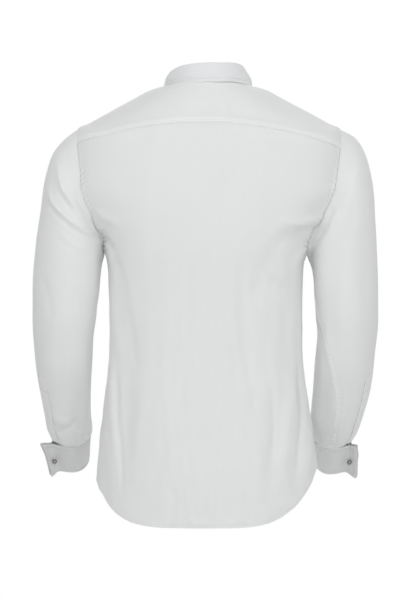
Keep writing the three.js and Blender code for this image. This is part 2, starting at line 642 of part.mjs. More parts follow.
/** The band along the left front's edge, made from the front's own points moved out. */
function frontBand() {
  const across = [-PLACKET_HALF, -BAND_FLAT, BAND_FLAT, PLACKET_HALF];
  return wall(FRONT_ROWS, across.length, (i, j) => {
    const level = frontDown(LEFT, i, 0);
    const turn = frontTurn(across[j], level);
    const inset = i === FRONT_ROWS - 1 ? BAND_INSET : 0;
    const down = Math.max(BAND_START, frontDown(LEFT, i, turn) - inset);
    return bodyWall(turn, down, OVERLAP_LIFT + BAND_OFF + BAND_WALL, BAND_WALL);
  });
}

/** Placement of a round piece: its y axis along a normal, at a point. */
function standOn(point, normal) {
  const turned = new THREE.Quaternion().setFromUnitVectors(new THREE.Vector3(0, 1, 0), normal);
  return new THREE.Matrix4().compose(point, turned, new THREE.Vector3(1, 1, 1));
}

/** A round button with a raised rim, its flat back at y = 0. */
function buttonGeometry() {
  const [r, t] = [BUTTON_RADIUS, BUTTON_THICK];
  const profile = [[0, 0], [r - 0.7, 0], [r, 0.8], [r - 0.5, t], [r - 2, t], [0, t - 0.8]];
  return new THREE.LatheGeometry(profile.map(([x, y]) => new THREE.Vector2(x, y)), 12);
}

/** One sleeve, from the armhole to the cuff. */
function sleevePanel(side) {
  const { yoke, back, front } = EDGE_ANGLES[side];
  const angles = [...yoke, ...back.slice(1), ...front.slice(1, -1).reverse()];
  const place = (i, j) => {
    const outer = sleevePoint(side, angles[j], SLEEVE_ROWS[i]);
    if (i === 0) return { outer, inner: outer.clone().add(armholeMitre(side, angles[j])) };
    const inner = outer.clone().addScaledVector(sleeveNormal(side, angles[j], SLEEVE_ROWS[i]), -CLOTH_WALL);
    return { outer, inner };
  };
  return wall(SLEEVE_ROWS.length, angles.length, place, { round: true, mirrored: side === RIGHT });
}

/** The pointed placket over a sleeve's vent, made from the sleeve's points moved out. */
function sleeveBand(side) {
  const steps = shares(11);
  const place = (i, j) => {
    const along = SLEEVE_END - VENT_END - VENT_LENGTH * (1 - steps[i]);
    const width = VENT_HALF * Math.min(1, VENT_TIP + steps[i] / VENT_POINT);
    const angle = VENT_TURN[side] + (VENT_ACROSS[j] * width) / read(SLEEVE_RINGS[side], "deep", along);
    const normal = sleeveNormal(side, angle, along);
    const outer = sleevePoint(side, angle, along).addScaledVector(normal, BAND_OFF + BAND_WALL);
    return { outer, inner: outer.clone().addScaledVector(normal, -BAND_WALL) };
  };
  return wall(steps.length, VENT_ACROSS.length, place, { mirrored: side === RIGHT });
}

/** Frame of a cuff: its centre, the way down the arm, outwards and backwards. */
function cuffFrame(side) {
  const [outer, inner] = [sleeveRing(side, 0, SLEEVE_END), sleeveRing(side, Math.PI, SLEEVE_END)];
  const centre = outer.lerp(inner, 0.5);
  const tilt = read(SLEEVE_RINGS[side], "tilt", SLEEVE_END) * DEGREE;
  const down = new THREE.Vector3(0, -Math.sin(tilt), -Math.cos(tilt));
  const out = new THREE.Vector3(side, 0, 0);
  const back = new THREE.Vector3(0, Math.cos(tilt), -Math.sin(tilt));
  return { centre, down, out, back };
}

/** Plan of a cuff, turned so that its fin points out along x: even points from end to end. */
function cuffPath(side, count) {
  const [a, b] = CUFF_PLAN.map((half) => half + CUFF_EASE);
  const turn = FIN_TURN[side];
  const radius = (angle) => 1 / Math.hypot(Math.cos(angle + turn) / a, Math.sin(angle + turn) / b);
  const tip = radius(0) + FIN_REACH;
  const half = [0, 0.35, 0.7].map((share) => [tip - FIN_REACH * share, FIN_HALF_GAP]);
  const round = [38, 60, 85, 110, 135, 160].map((degrees) => degrees * DEGREE);
  const upper = [...half, ...round.map((d) => [radius(d) * Math.cos(d), radius(d) * Math.sin(d)])];
  const lower = [...half, ...round.map((d) => [radius(-d) * Math.cos(d), radius(-d) * Math.sin(d)])];
  const end = [[-radius(Math.PI), 0]];
  const plan = [...upper, ...end, ...lower.reverse().map(([x, y]) => [x, -y])];
  const corners = plan.map(([x, y]) => new THREE.Vector3(x, y, 0));
  const curve = new THREE.CatmullRomCurve3(corners, false, "centripetal");
  const tangents = shares(count - 1).map((t) => curve.getTangentAt(t));
  return { points: curve.getSpacedPoints(count - 1), tangents, tip };
}

/** A cuff: one band folded at its lower edge, open at the fin. The link's hole goes through its ends. */
function cuffGeometry(side) {
  const count = CUFF_COLUMNS;
  const { points, tangents, tip } = cuffPath(side, count);
  const { centre, down, out, back } = cuffFrame(side);
  const turn = FIN_TURN[side];
  const [far, deep] = [2 * CUFF_LAYER + CUFF_SLOT, CUFF_DEEP];
  const lip = deep - CUFF_LIP;
  const section = [
    [-CUFF_RISE, 0], [deep / 2, 0], [deep - 1, 0], [deep, -far / 2], [deep - 1, -far], [deep / 2, -far],
    [CUFF_START, -far], [CUFF_START, -far + CUFF_LAYER], [lip, -far + CUFF_LAYER],
    [lip, -CUFF_LAYER], [-CUFF_RISE, -CUFF_LAYER],
  ];
  const at = (x, y, e) => {
    const size = 1 - (CUFF_TAPER * e) / deep;
    const lx = size * (x * Math.cos(turn) - y * Math.sin(turn));
    const ly = size * (x * Math.sin(turn) + y * Math.cos(turn));
    return centre.clone().addScaledVector(down, e).addScaledVector(out, lx).addScaledVector(back, ly);
  };
  const positions = [];
  for (let k = 0; k < count; k++) {
    const [x, y] = [points[k].x, points[k].y];
    const normal = new THREE.Vector2(tangents[k].y, -tangents[k].x);
    if (k === 0 || k === count - 1) normal.set(0, k === 0 ? 1 : -1);
    if (normal.x * x + normal.y * y < 0 && Math.abs(y) > FIN_HALF_GAP + 2) normal.negate();
    if (Math.abs(y) <= FIN_HALF_GAP + 2 && x > 0 && normal.y * y < 0) normal.negate();
    const inFin = ease(tip - FIN_REACH, tip, x);
    for (const [e, off] of section) {
      const flared = e + FIN_FLARE * inFin * (e - deep * FIN_MIDDLE);
      const p = at(x + normal.x * off, y + normal.y * off, flared);
      positions.push(p.x, p.y, p.z);
    }
  }
  const index = [];
  const m = section.length;
  const face = (a, b, c) => (side === LEFT ? index.push(a, b, c) : index.push(a, c, b));
  for (let k = 0; k < count - 1; k++)
    for (let s = 0; s < m; s++) {
      const [a, b] = [k * m + s, k * m + ((s + 1) % m)];
      face(a, b, b + m);
      face(a, b + m, a + m);
    }
  const last = (count - 1) * m;
  const flat = section.map(([e, off]) => new THREE.Vector2(e, off));
  for (const [a, b, c] of THREE.ShapeUtils.triangulateShape(flat, [])) {
    face(a, b, c);
    face(last + a, last + c, last + b);
  }
  const geometry = new THREE.BufferGeometry();
  geometry.setAttribute("position", new THREE.Float32BufferAttribute(positions, 3));
  geometry.setIndex(index);
  const hole = new THREE.CylinderGeometry(LINK_HOLE, LINK_HOLE, 40, 8);
  hole.applyMatrix4(linkPlace(side));
  return cut(geometry, hole);
}

/** Where a cufflink lies: y along its post, which goes square through the fin. */
function linkPlace(side) {
  const { centre, down, out, back } = cuffFrame(side);
  const turn = FIN_TURN[side];
  const { tip } = cuffPath(side, 9);
  const reach = tip - LINK_FROM_EDGE;
  const fin = out.clone().multiplyScalar(Math.cos(turn)).addScaledVector(back, Math.sin(turn));
  const square = back.clone().multiplyScalar(Math.cos(turn)).addScaledVector(out, -Math.sin(turn));
  const point = centre.clone().addScaledVector(down, LINK_DOWN).addScaledVector(fin, reach);
  return standOn(point, square);
}

/** A cufflink: a post with a ball on its seen side and a smaller one on its far side. */
function linkGeometry() {
  const fin = FIN_HALF_GAP + LAY_GAP;
  const ball = LINK_BALL;
  const behind = [[0, -fin - 5.4], [2.2, -fin - 4.9], [3.2, -fin - 2.8], [2.4, -fin - 0.6]];
  const profile = [...behind, [LINK_POST, -fin], [LINK_POST, fin]];
  const steps = 5;
  for (let i = 0; i <= steps; i++) {
    const angle = mix(-0.3, 0.5, i / steps) * Math.PI;
    profile.push([Math.max(0, ball * Math.cos(angle)), fin + ball * 0.87 + ball * Math.sin(angle)]);
  }
  profile[profile.length - 1][0] = 0;
  return new THREE.LatheGeometry(profile.map(([x, y]) => new THREE.Vector2(x, y)), 12);
}

/** A closed geometry as a manifold-3d solid. */
function solidOf(geometry) {
  const bare = geometry.clone();
  bare.deleteAttribute("normal");
  bare.deleteAttribute("uv");
  const merged = mergeVertices(bare, 1e-4);
  return new wasm.Manifold(
    new wasm.Mesh({
      numProp: 3,
      vertProperties: merged.attributes.position.array,
      triVerts: new Uint32Array(merged.index.array),
    }),
  );
}

/** A geometry with another cut out of it. */
function cut(geometry, tool) {
  const made = solidOf(geometry).subtract(solidOf(tool)).getMesh();
  const result = new THREE.BufferGeometry();
  result.setAttribute("position", new THREE.BufferAttribute(new Float32Array(made.vertProperties), 3));
  result.setIndex(new THREE.BufferAttribute(new Uint32Array(made.triVerts), 1));
  return result;
}

/** Point of the stand, by degrees from the centre front, share of its height and how far it laps out. */
function standPoint(degrees, share, lapped = 0) {
  const turn = degrees * DEGREE;
  const base = ringPoint(turn, 0);
  const outwards = new THREE.Vector3(Math.sin(turn), -Math.cos(turn), 0);
  const within = (degrees + 360) % 360;
  const rise = read(STAND_ROWS, "height", within) * share;
  const lean = read(STAND_ROWS, "lean", within);
  const leftLap = 1 - ease(STAND_LAP, 3 * STAND_LAP, degrees);
  const rightLap = ease(360 - 3 * STAND_LAP, 360 - STAND_LAP, degrees);
  const lap = STAND_LAP_LIFT * (lapped || leftLap - rightLap);
  const front = Math.min(Math.abs(degrees), Math.abs(360 - degrees));
  const seam = STAND_GAP + OVERLAP_LIFT * (1 - ease(...STAND_OVERLAP, front));
  return base.addScaledVector(outwards, lap - lean * rise).add(new THREE.Vector3(0, 0, rise + seam));
}

/** The collar stand, its left end lapped over its right end. */
function collarStand() {
  const columns = STAND_COLUMNS;
  const rows = 3;
  return wall(rows, columns, (i, j) => {
    const degrees = mix(-STAND_LAP, 360 + STAND_LAP, j / (columns - 1));
    const outer = standPoint(degrees, 1 - i / (rows - 1));
    const turn = degrees * DEGREE;
    const inwards = new THREE.Vector3(-Math.sin(turn), Math.cos(turn), 0);
    return { outer, inner: outer.clone().addScaledVector(inwards, COLLAR_WALL) };
  });
}

/** Height of the body form at a place in plan. */
function bodyHeight(turn, reach) {
  const down = halve(0, 130, (d) => {
    const point = ringPoint(turn, d);
    return Math.hypot(point.x, point.y) < reach;
  });
  return ringPoint(turn, down).z;
}

/** Point of the leaf's seen face: s goes from the left front edge (0) over the back (1) to the right (2). */
function leafPoint(s, t) {
  const side = s <= 1 ? LEFT : RIGHT;
  const row = side === LEFT ? s : 2 - s;
  const value = (column) => read(LEAF_ROWS, column, row);
  const fold = side === LEFT ? value("fold") : 360 - value("fold");
  const top = standPoint(fold, 1, 1 - ease(STAND_LAP, 3 * STAND_LAP, value("fold")));
  const foldTurn = fold * DEGREE;
  const outwards = new THREE.Vector3(Math.sin(foldTurn), -Math.cos(foldTurn), 0);
  const centre = top.clone().addScaledVector(outwards, ROLL_CENTRE).add(new THREE.Vector3(0, 0, ROLL_RISE));
  if (t <= ROLL_SHARE) {
    const angle = Math.PI * (1 - t / ROLL_SHARE);
    return centre
      .addScaledVector(outwards, ROLL_RADIUS * Math.cos(angle))
      .add(new THREE.Vector3(0, 0, ROLL_RADIUS * Math.sin(angle)));
  }
  const start = centre.addScaledVector(outwards, ROLL_RADIUS);
  const edgeTurn = turnOn(side, value("turn") * DEGREE);
  const reach = value("reach") + (side === RIGHT ? value("more") : 0);
  const edge = new THREE.Vector3(LEAF_SHIFT + Math.sin(edgeTurn) * reach, -Math.cos(edgeTurn) * reach, 0);
  edge.z = bodyHeight(edgeTurn, reach) + value("lift") + COLLAR_WALL;
  const u = (t - ROLL_SHARE) / (1 - ROLL_SHARE);
  const bow = Math.sin(Math.PI * u) * mix(LEAF_BOW.front, LEAF_BOW.back, row);
  const straight = start.lerp(edge, u).addScaledVector(outwards, bow * LEAF_BOW.out);
  return straight.add(new THREE.Vector3(0, 0, bow * LEAF_BOW.up));
}

/** The collar leaf. */
function collarLeaf() {
  const columns = 33;
  const rolls = [0, 0.07, 0.15, 0.22, 0.4, 0.6, 0.8, 1];
  const around = shares(columns - 1).map((u) => 2 * u);
  return wall(rolls.length, columns, (i, j) => {
    const [s, t] = [around[j], rolls[i]];
    const outer = leafPoint(s, t);
    const e = 0.004;
    const [sa, sb] = [Math.max(0, s - e), Math.min(2, s + e)];
    const [ta, tb] = [Math.max(0, t - e), Math.min(1, t + e)];
    const alongS = leafPoint(sb, t).sub(leafPoint(sa, t));
    const alongT = leafPoint(s, tb).sub(leafPoint(s, ta));
    const normal = alongT.cross(alongS).normalize();
    return { outer, inner: outer.clone().addScaledVector(normal, -COLLAR_WALL) };
  });
}

const COTTON = { color: 0xf2f3f2, roughness: 0.85, metalness: 0 };
const PEARL = { color: 0xf4f2ec, roughness: 0.3, metalness: 0 };
const SILVER = { color: 0xc9c9c6, roughness: 0.2, metalness: 1 };

const shirt = new THREE.Group();

/** Adds a named piece with its own material. */
function add(name, geometry, finish, place) {
  const mesh = new THREE.Mesh(geometry, new THREE.MeshStandardMaterial(finish));
  mesh.name = name;
  if (place) mesh.applyMatrix4(place);
  shirt.add(mesh);
}

add("back", backPanel(), COTTON);
add("yoke", yokePanel(), COTTON);
add("front_left", frontPanel(LEFT), COTTON);
add("front_right", frontPanel(RIGHT), COTTON);
add("front_band", frontBand(), COTTON);
add("collar_stand", collarStand(), COTTON);
add("collar_leaf", collarLeaf(), COTTON);
for (const [side, word] of [[LEFT, "left"], [RIGHT, "right"]]) {
  add(`sleeve_${word}`, sleevePanel(side), COTTON);
  add(`sleeve_band_${word}`, sleeveBand(side), COTTON);
  add(`cuff_${word}`, cuffGeometry(side), COTTON);
  add(`cufflink_${word}`, linkGeometry(), SILVER, linkPlace(side));
}
for (let i = 0; i < BUTTON_COUNT; i++) {
  const down = BUTTON_FIRST + i * BUTTON_STEP;
  const lift = OVERLAP_LIFT + BAND_OFF + BAND_WALL + BUTTON_GAP;
  const point = bodyPoint(0, down).addScaledVector(bodyNormal(0, down), lift);
  add(`button_${i + 1}`, buttonGeometry(), PEARL, standOn(point, bodyNormal(0, down)));
}
const collarButton = standPoint(0, 0.5).add(new THREE.Vector3(0, -LAY_GAP, 0));
add("button_collar", buttonGeometry(), PEARL, standOn(collarButton, new THREE.Vector3(0, -1, 0)));

export default shirt;
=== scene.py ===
"""A white long sleeve dress shirt, filled out as when it is worn and seen from behind.

Tables and sizes are in millimetres, +Z up, the front facing -Y and the wearer's left at +X. Meshes are
in metres. Each cloth piece is a thin closed shell laid on one body form, or on one sleeve form for each
side. The forms are those of the solids, and this file adds the smaller folds, the seams with their
puckers, the hems and the stitches.
"""

from __future__ import annotations

import logging
import math
from dataclasses import dataclass, field
from enum import Enum
from typing import Callable, Iterable, Sequence

import bpy
import numpy as np
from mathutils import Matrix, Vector

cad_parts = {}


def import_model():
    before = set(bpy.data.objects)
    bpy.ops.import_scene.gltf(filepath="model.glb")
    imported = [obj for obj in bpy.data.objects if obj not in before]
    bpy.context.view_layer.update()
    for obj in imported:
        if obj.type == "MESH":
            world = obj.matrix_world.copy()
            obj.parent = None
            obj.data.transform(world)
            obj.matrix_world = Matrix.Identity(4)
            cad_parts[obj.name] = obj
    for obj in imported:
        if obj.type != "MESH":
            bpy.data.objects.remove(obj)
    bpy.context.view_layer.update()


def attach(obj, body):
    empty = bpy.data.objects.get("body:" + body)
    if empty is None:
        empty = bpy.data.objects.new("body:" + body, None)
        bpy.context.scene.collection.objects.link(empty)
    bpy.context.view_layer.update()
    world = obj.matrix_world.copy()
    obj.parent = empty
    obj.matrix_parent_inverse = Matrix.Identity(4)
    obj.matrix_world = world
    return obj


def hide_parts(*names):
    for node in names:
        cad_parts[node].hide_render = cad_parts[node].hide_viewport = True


Array = np.ndarray
Line = Sequence[tuple[float, float]]

log = logging.getLogger("shirt")

MM = 0.001
DEGREE = math.pi / 180
BODY = "root"


class Side(Enum):
    """The wearer's side, with its sign along X."""

    LEFT = 1
    RIGHT = -1

    @property
    def word(self) -> str:
        """The side as it stands in a piece's name."""
        return self.name.lower()


class Face(Enum):
    """The half of the body or sleeve that a fold lies on."""

    BACK = "back"
    FRONT = "front"


# Arithmetic on whole arrays


def mix(a: Array | float, b: Array | float, t: Array | float) -> Array | float:
    """a where t is 0, b where t is 1, straight between."""
    return a + (b - a) * t


def ease(low: float, high: float, value: Array | float) -> Array | float:
    """0 below low, 1 above high, with a smooth S between."""
    t = np.clip((np.asarray(value, float) - low) / (high - low), 0, 1)
    return t * t * (3 - 2 * t)


def bell(value: Array | float, width: float) -> Array | float:
    """1 at 0, falling as the bell exp(-(value / width) squared)."""
    return np.exp(-((np.asarray(value) / width) ** 2))


def unit(v: Array) -> Array:
    """Vectors of length 1 along the last axis."""
    return v / np.maximum(np.linalg.norm(v, axis=-1, keepdims=True), 1e-12)


def halve(low: float, high: float, shape: tuple[int, ...], below: Callable[[Array], Array]) -> Array:
    """Largest values below which a test holds, by halving.

    Args:
        low: the least value tried.
        high: the greatest value tried.
        shape: the shape of the answer.
        below: says of an array of values where the test holds.

    Returns:
        An array of values.
    """
    a, b = np.full(shape, float(low)), np.full(shape, float(high))
    for _ in range(24):
        middle = (a + b) / 2
        holds = below(middle)
        a, b = np.where(holds, middle, a), np.where(holds, b, middle)
    return (a + b) / 2


def grid_normals(points: Array, around: bool = False) -> Array:
    """Outward normals of a grid of points: the cross product of its steps down and across.

    Args:
        points: rows by columns by 3.
        around: whether the last column is followed by the first one.

    Returns:
        Unit vectors of the same shape.
    """
    down = np.gradient(points, axis=0)
    if around:
        across = np.roll(points, -1, axis=1) - np.roll(points, 1, axis=1)
    else:
        across = np.gradient(points, axis=1)
    return unit(np.cross(down, across))


class Edge(Enum):
    """An edge of a grid, with the rows and columns that are added there when it is turned under."""

    TOP = ((2, 0), (0, 0))
    FIRST = ((0, 0), (2, 0))
    LAST = ((0, 0), (0, 2))

    def seen_as_rows(self, grid: Array) -> Array:
        """A view of a grid in which this edge is the first row."""
        if self is Edge.TOP:
            return grid
        turned = grid.swapaxes(0, 1)
        return turned if self is Edge.FIRST else turned[::-1]


def tucked(grid: Array, normals: Array, edge: Edge, reach: Array | float) -> Array:
    """A grid with one edge turned under the piece that it is sewn to.

    Args:
        grid: rows by columns by 3, in millimetres.
        normals: its outward normals.
        edge: the edge that is turned under.
        reach: how far it goes beyond the seam, for each place on the edge.

    Returns:
        The grid with two more rows or columns, the first 0.8 and the second 1.5 mm below the seen face.
    """
    rows, inwards = edge.seen_as_rows(grid), -edge.seen_as_rows(normals)[0]
    beyond = unit(rows[0] - rows[2])
    reach = np.broadcast_to(reach, len(inwards))[:, None]
    padded = np.pad(grid, (*edge.value, (0, 0)), "edge")
    out = edge.seen_as_rows(padded)
    out[1] = rows[0] + beyond * np.minimum(reach, 0.4) + inwards * 0.8
    out[0] = rows[0] + beyond * reach + inwards * 1.5
    return padded


def lengths_along(points: Array, axis: int = 0) -> Array:
    """Lengths from the first point to each one, down the rows (axis 0) or across the columns (axis 1)."""
    steps = np.linalg.norm(np.diff(points, axis=axis), axis=-1)
    return np.insert(np.cumsum(steps, axis=axis), 0, 0.0, axis=axis)


def tube_faces(rows: int, columns: int) -> Array:
    """Faces of four corners on a grid of points whose last column is followed by the first one."""
    index = np.arange(rows * columns).reshape(rows, columns)
    wide = np.concatenate([index, index[:, :1]], axis=1)
    return np.stack([wide[:-1, :-1], wide[1:, :-1], wide[1:, 1:], wide[:-1, 1:]], axis=-1).reshape(-1, 4)


def near_line(x: Array, z: Array, line: Line) -> tuple[Array, Array]:
    """How far places are from a flat line of points, and how far along it the nearest place is.

    Args:
        x: sideways places.
        z: upright places.
        line: the line's points.

    Returns:
        Distances in millimetres, and shares of the line from 0 to 1.
    """
    best, share = np.full(np.shape(x), np.inf), np.zeros(np.shape(x))
    for i, ((ax, az), (bx, bz)) in enumerate(zip(line, line[1:])):
        dx, dz = bx - ax, bz - az
        t = np.clip(((x - ax) * dx + (z - az) * dz) / (dx * dx + dz * dz), 0, 1)
        distance = np.hypot(x - ax - t * dx, z - az - t * dz)
        closer = distance < best
        best = np.where(closer, distance, best)
        share = np.where(closer, (i + t) / (len(line) - 1), share)
    return best, share


def near_path(points: Array, path: Array) -> tuple[Array, Array]:
    """How far points in space are from a path, and the length along the path to the nearest corner of it.

    Args:
        points: any shape by 3.
        path: the path's corners, close together.

    Returns:
        Distances and lengths in millimetres, in the points' shape.
    """
    lengths = lengths_along(path)
    flat = points.reshape(-1, 3)
    found, where = np.empty(len(flat)), np.empty(len(flat))
    block = 6000
    for start in range(0, len(flat), block):
        gaps = np.linalg.norm(flat[start : start + block, None] - path[None], axis=2)
        nearest = gaps.argmin(axis=1)
        found[start : start + block] = gaps[np.arange(len(nearest)), nearest]
        where[start : start + block] = lengths[nearest]
    return found.reshape(points.shape[:-1]), where.reshape(points.shape[:-1])


def smooth_path(corners: Array, count: int) -> Array:
    """Evenly spaced points on a centripetal Catmull-Rom curve through corners.

    Args:
        corners: the curve's own points.
        count: how many points are wanted.

    Returns:
        count points, from the first corner to the last.
    """
    ends = np.vstack([2 * corners[0] - corners[1], corners, 2 * corners[-1] - corners[-2]])
    fine = []
    for p0, p1, p2, p3 in zip(ends, ends[1:], ends[2:], ends[3:]):
        t0 = 0.0
        t1 = t0 + math.sqrt(np.linalg.norm(p1 - p0))
        t2 = t1 + math.sqrt(np.linalg.norm(p2 - p1))
        t3 = t2 + math.sqrt(np.linalg.norm(p3 - p2))
        t = np.linspace(t1, t2, 40, endpoint=False)[:, None]
        a1 = (t1 - t) / (t1 - t0) * p0 + (t - t0) / (t1 - t0) * p1
        a2 = (t2 - t) / (t2 - t1) * p1 + (t - t1) / (t2 - t1) * p2
        a3 = (t3 - t) / (t3 - t2) * p2 + (t - t2) / (t3 - t2) * p3
        b1 = (t2 - t) / (t2 - t0) * a1 + (t - t0) / (t2 - t0) * a2
        b2 = (t3 - t) / (t3 - t1) * a2 + (t - t1) / (t3 - t1) * a3
        fine.append((t2 - t) / (t2 - t1) * b1 + (t - t1) / (t2 - t1) * b2)
    fine = np.vstack([*fine, corners[-1:]])
    return spaced(fine, count)


def spaced(path: Array, count: int) -> Array:
    """A path's points moved to be evenly far apart along it."""
    lengths = lengths_along(path)
    wanted = np.linspace(0, lengths[-1], count)
    return np.column_stack([np.interp(wanted, lengths, path[:, k]) for k in range(path.shape[1])])


class Profile:
    """A table whose columns are read anywhere along its first one, by a cubic that never overshoots."""

    def __init__(self, columns: str, rows: Iterable[Sequence[float]]) -> None:
        """Names the columns after the first, which is the place along the table."""
        data = np.array(list(rows), float)
        self.names = columns.split()
        self.at, self.data = data[:, 0], data[:, 1:]
        steps = np.diff(self.data, axis=0) / np.diff(self.at)[:, None]
        before, after = steps[:-1], steps[1:]
        same = before * after > 0
        inner = np.where(same, 2 * before * after / np.where(same, before + after, 1), 0)
        self.slopes = np.vstack([steps[:1], inner, steps[-1:]])

    def read(self, name: str, at: Array | float) -> Array:
        """The named column's value at places along the table, held at its two ends."""
        k = self.names.index(name)
        place = np.clip(np.asarray(at, float), self.at[0], self.at[-1])
        i = np.clip(np.searchsorted(self.at, place, side="right") - 1, 0, len(self.at) - 2)
        width = self.at[i + 1] - self.at[i]
        t = (place - self.at[i]) / width
        t2, t3 = t * t, t * t * t
        low, high = self.data[i, k], self.data[i + 1, k]
        rise = (t3 - 2 * t2 + t) * self.slopes[i, k] + (t3 - t2) * self.slopes[i + 1, k]
        return (2 * t3 - 3 * t2 + 1) * low + (3 * t2 - 2 * t3) * high + width * rise


@dataclass(frozen=True)
class Fold:
    """A ridge or, below 0, a hollow along a line of [x, z] points seen square on to one face."""

    face: Face
    height: float
    width: float
    line: Line

    def rise(self, x: Array, z: Array) -> Array:
        """A bell across the line, which fades out at its ends."""
        distance, share = near_line(x, z, self.line)
        ends = ease(0, 0.25, share) * ease(0, 0.25, 1 - share)
        return self.height * bell(distance, self.width) * ends


def folds(face: Face, *rows: Sequence[float]) -> tuple[Fold, ...]:
    """Folds of one face, from rows of a height, a width and the line's points as x, z, x, z and so on."""
    return tuple(Fold(face, row[0], row[1], tuple(zip(row[2::2], row[3::2]))) for row in rows)


@dataclass(frozen=True)
class Ripple:
    """Soft unevenness of laid cloth: waves of chance length, direction and phase, added up."""

    height: float
    longest: float
    shortest: float
    upright: float = 1.0
    seed: int = 1
    waves: int = 14

    def rise(self, u: Array, v: Array) -> Array:
        """Heights at places u across and v down, where upright above 1 stretches the waves down the cloth."""
        draw = np.random.default_rng(self.seed)
        total = np.zeros(np.broadcast(u, v).shape)
        for _ in range(self.waves):
            length = math.exp(draw.uniform(math.log(self.shortest), math.log(self.longest)))
            angle, phase = draw.uniform(0, math.pi), draw.uniform(0, 2 * math.pi)
            way = u * math.cos(angle) + v * math.sin(angle) / self.upright
            total += np.sin(2 * math.pi * way / length + phase) * (length / self.longest) ** 0.7
        return total * self.height / math.sqrt(self.waves / 2)


@dataclass(frozen=True)
class Seam:
    """The relief that a sewn edge gives the cloth beside it.

    band is the width of the layers turned under, rise their height, soft how far they fade out, dip the
    groove on the seam itself, and pucker the height of the small waves that the thread draws up, one every
    step or so, slanting away from it. calm is the length of the seam at either end that has no waves.
    tone is how much lighter or darker the colour is over the layers, partly their own whiteness and partly a
    painted highlight above the seam or a painted shade line beside it, and shade how far the waves paint the
    puckers' shade and light into the colour.
    """

    path: Array
    band: float = 8.0
    rise: float = 0.5
    dip: float = 0.5
    pucker: float = 0.3
    step: float = 9.0
    reach: float = 9.0
    seed: int = 3
    soft: float = 0.9
    calm: float = 0.0
    tone_and_painted_light: float = 0.0
    shade: float = 0.0

    def parts(self, points: Array) -> tuple[Array, Array, Array]:
        """The layers' share, the distance from the seam and the waves from -1 to 1, at points."""
        distance, along = near_path(points, self.path)
        total = np.linalg.norm(np.diff(self.path, axis=0), axis=1).sum()
        woken = ease(self.calm, 1.6 * self.calm + 1, np.minimum(along, total - along))
        layers = 1 - ease(self.band - self.soft, self.band + self.soft, distance)
        wander = 0.35 * np.sin(along / (1.7 * self.step) + self.seed)
        wander = wander + 0.25 * np.sin(along / (3.1 * self.step))
        phase = 2 * math.pi * (along + 0.5 * distance) / self.step + 3 * wander
        strength = 0.65 + 0.35 * np.sin(along / (2.3 * self.step) + 2 * self.seed)
        waves = strength * np.sin(phase) * bell(distance - 0.5 * self.band, self.reach)
        return layers, distance, waves * woken

    def height(self, points: Array) -> Array:
        """Heights at points: a plateau beside the seam, a groove on it and puckers across both."""
        layers, distance, waves = self.parts(points)
        return self.rise * layers - self.dip * bell(distance, 1.3) + self.pucker * waves

    def layers_and_painted_light(self, points: Array) -> Array:
        """How much lighter or darker the colour is at points, from -1 to 1: the layers' own whiteness with a
        painted highlight or shade line, and the puckers' painted shade and light.
        """
        layers, _, waves = self.parts(points)
        # Painted highlight and shade: the band over the layers and the puckers' waves lighten or darken the
        # colour.
        return self.tone_and_painted_light * layers + self.shade * waves


# The forms that all the pieces lie on

BODY_RINGS = Profile(
    "half shift back front side_z back_z front_z square",
    [
        (0, 68, -2, 60, 74, -3, 4, -62, 2.05),
        (20, 101, -3.5, 69, 84, -11, -14, -76, 2.1),
        (40, 128, -3, 77, 92, -25, -33, -88, 2.15),
        (85, 183, -4, 90, 107, -54.5, -75, -122, 2.3),
        (112, 211, -4.4, 95, 114, -70, -100, -144, 2.35),
        (130, 231, -4.4, 98, 119, -80, -118, -160, 2.4),
        (170, 238.5, -3.7, 102, 125.5, -132, -156, -185, 2.4),
        (205, 237, -3, 106, 131, -178, -190, -208, 2.4),
        (255, 209, -1, 109, 135, -235, -240, -244, 2.4),
        (305, 179, 1.5, 110, 136, -290, -290, -290, 2.4),
        (345, 171.5, 1.5, 107, 132, -330, -330, -330, 2.4),
        (396, 170, 1.5, 103, 125, -381, -381, -381, 2.35),
        (485, 171.5, 1.5, 102, 119, -470, -470, -470, 2.3),
        (573, 180, 1, 109, 121, -558, -558, -558, 2.3),
        (635, 187, 0, 115, 124, -620, -620, -620, 2.3),
        (693, 193.5, -2, 120, 127, -678, -678, -678, 2.3),
        (815, 199, -3, 124, 129, -800, -800, -800, 2.3),
    ],
)
RIDGE_POWER = 1.7
MEAN_RADIUS = 175

BODY_FOLDS = folds(
    Face.BACK,
    (3, 9, 206, -100, 150, -86, 60, -72, -60, -74, -150, -90, -212, -112),
    (-3, 12, 45, -46, -10, -50, -75, -60, -130, -76),
    (-5, 15, 166, -318, 150, -392, 136, -470, 138, -560, 142, -660, 146, -748),
    (4, 13, 176, -420, 170, -520, 172, -620, 170, -700),
    (-4, 16, -32, -360, -56, -430, -74, -520, -82, -600),
    (-5, 11, -168, -470, -163, -560, -158, -640, -150, -735),
    (5, 12, -150, -520, -142, -600, -134, -690),
    (-5, 14, -128, -540, -120, -620, -112, -720),
    (4, 10, -180, -560, -176, -640, -168, -710),
    (-4, 15, -166, -262, -128, -280, -100, -330, -92, -392),
    (4, 14, -186, -240, -150, -252, -120, -240),
) + folds(
    Face.FRONT,
    (-4, 18, 150, -250, 118, -300, 92, -380, 82, -470),
    (4, 16, 168, -262, 150, -330, 128, -430, 122, -520),
    (-4, 18, -150, -262, -116, -312, -94, -400, -88, -480),
    (4, 16, -168, -276, -148, -350, -126, -450, -120, -560),
    (-5, 17, 128, -470, 134, -570, 140, -690),
    (-5, 17, -124, -480, -132, -590, -138, -700),
)
FOLD_SHARE = 0.6
CREASE_SHARE = 1.6
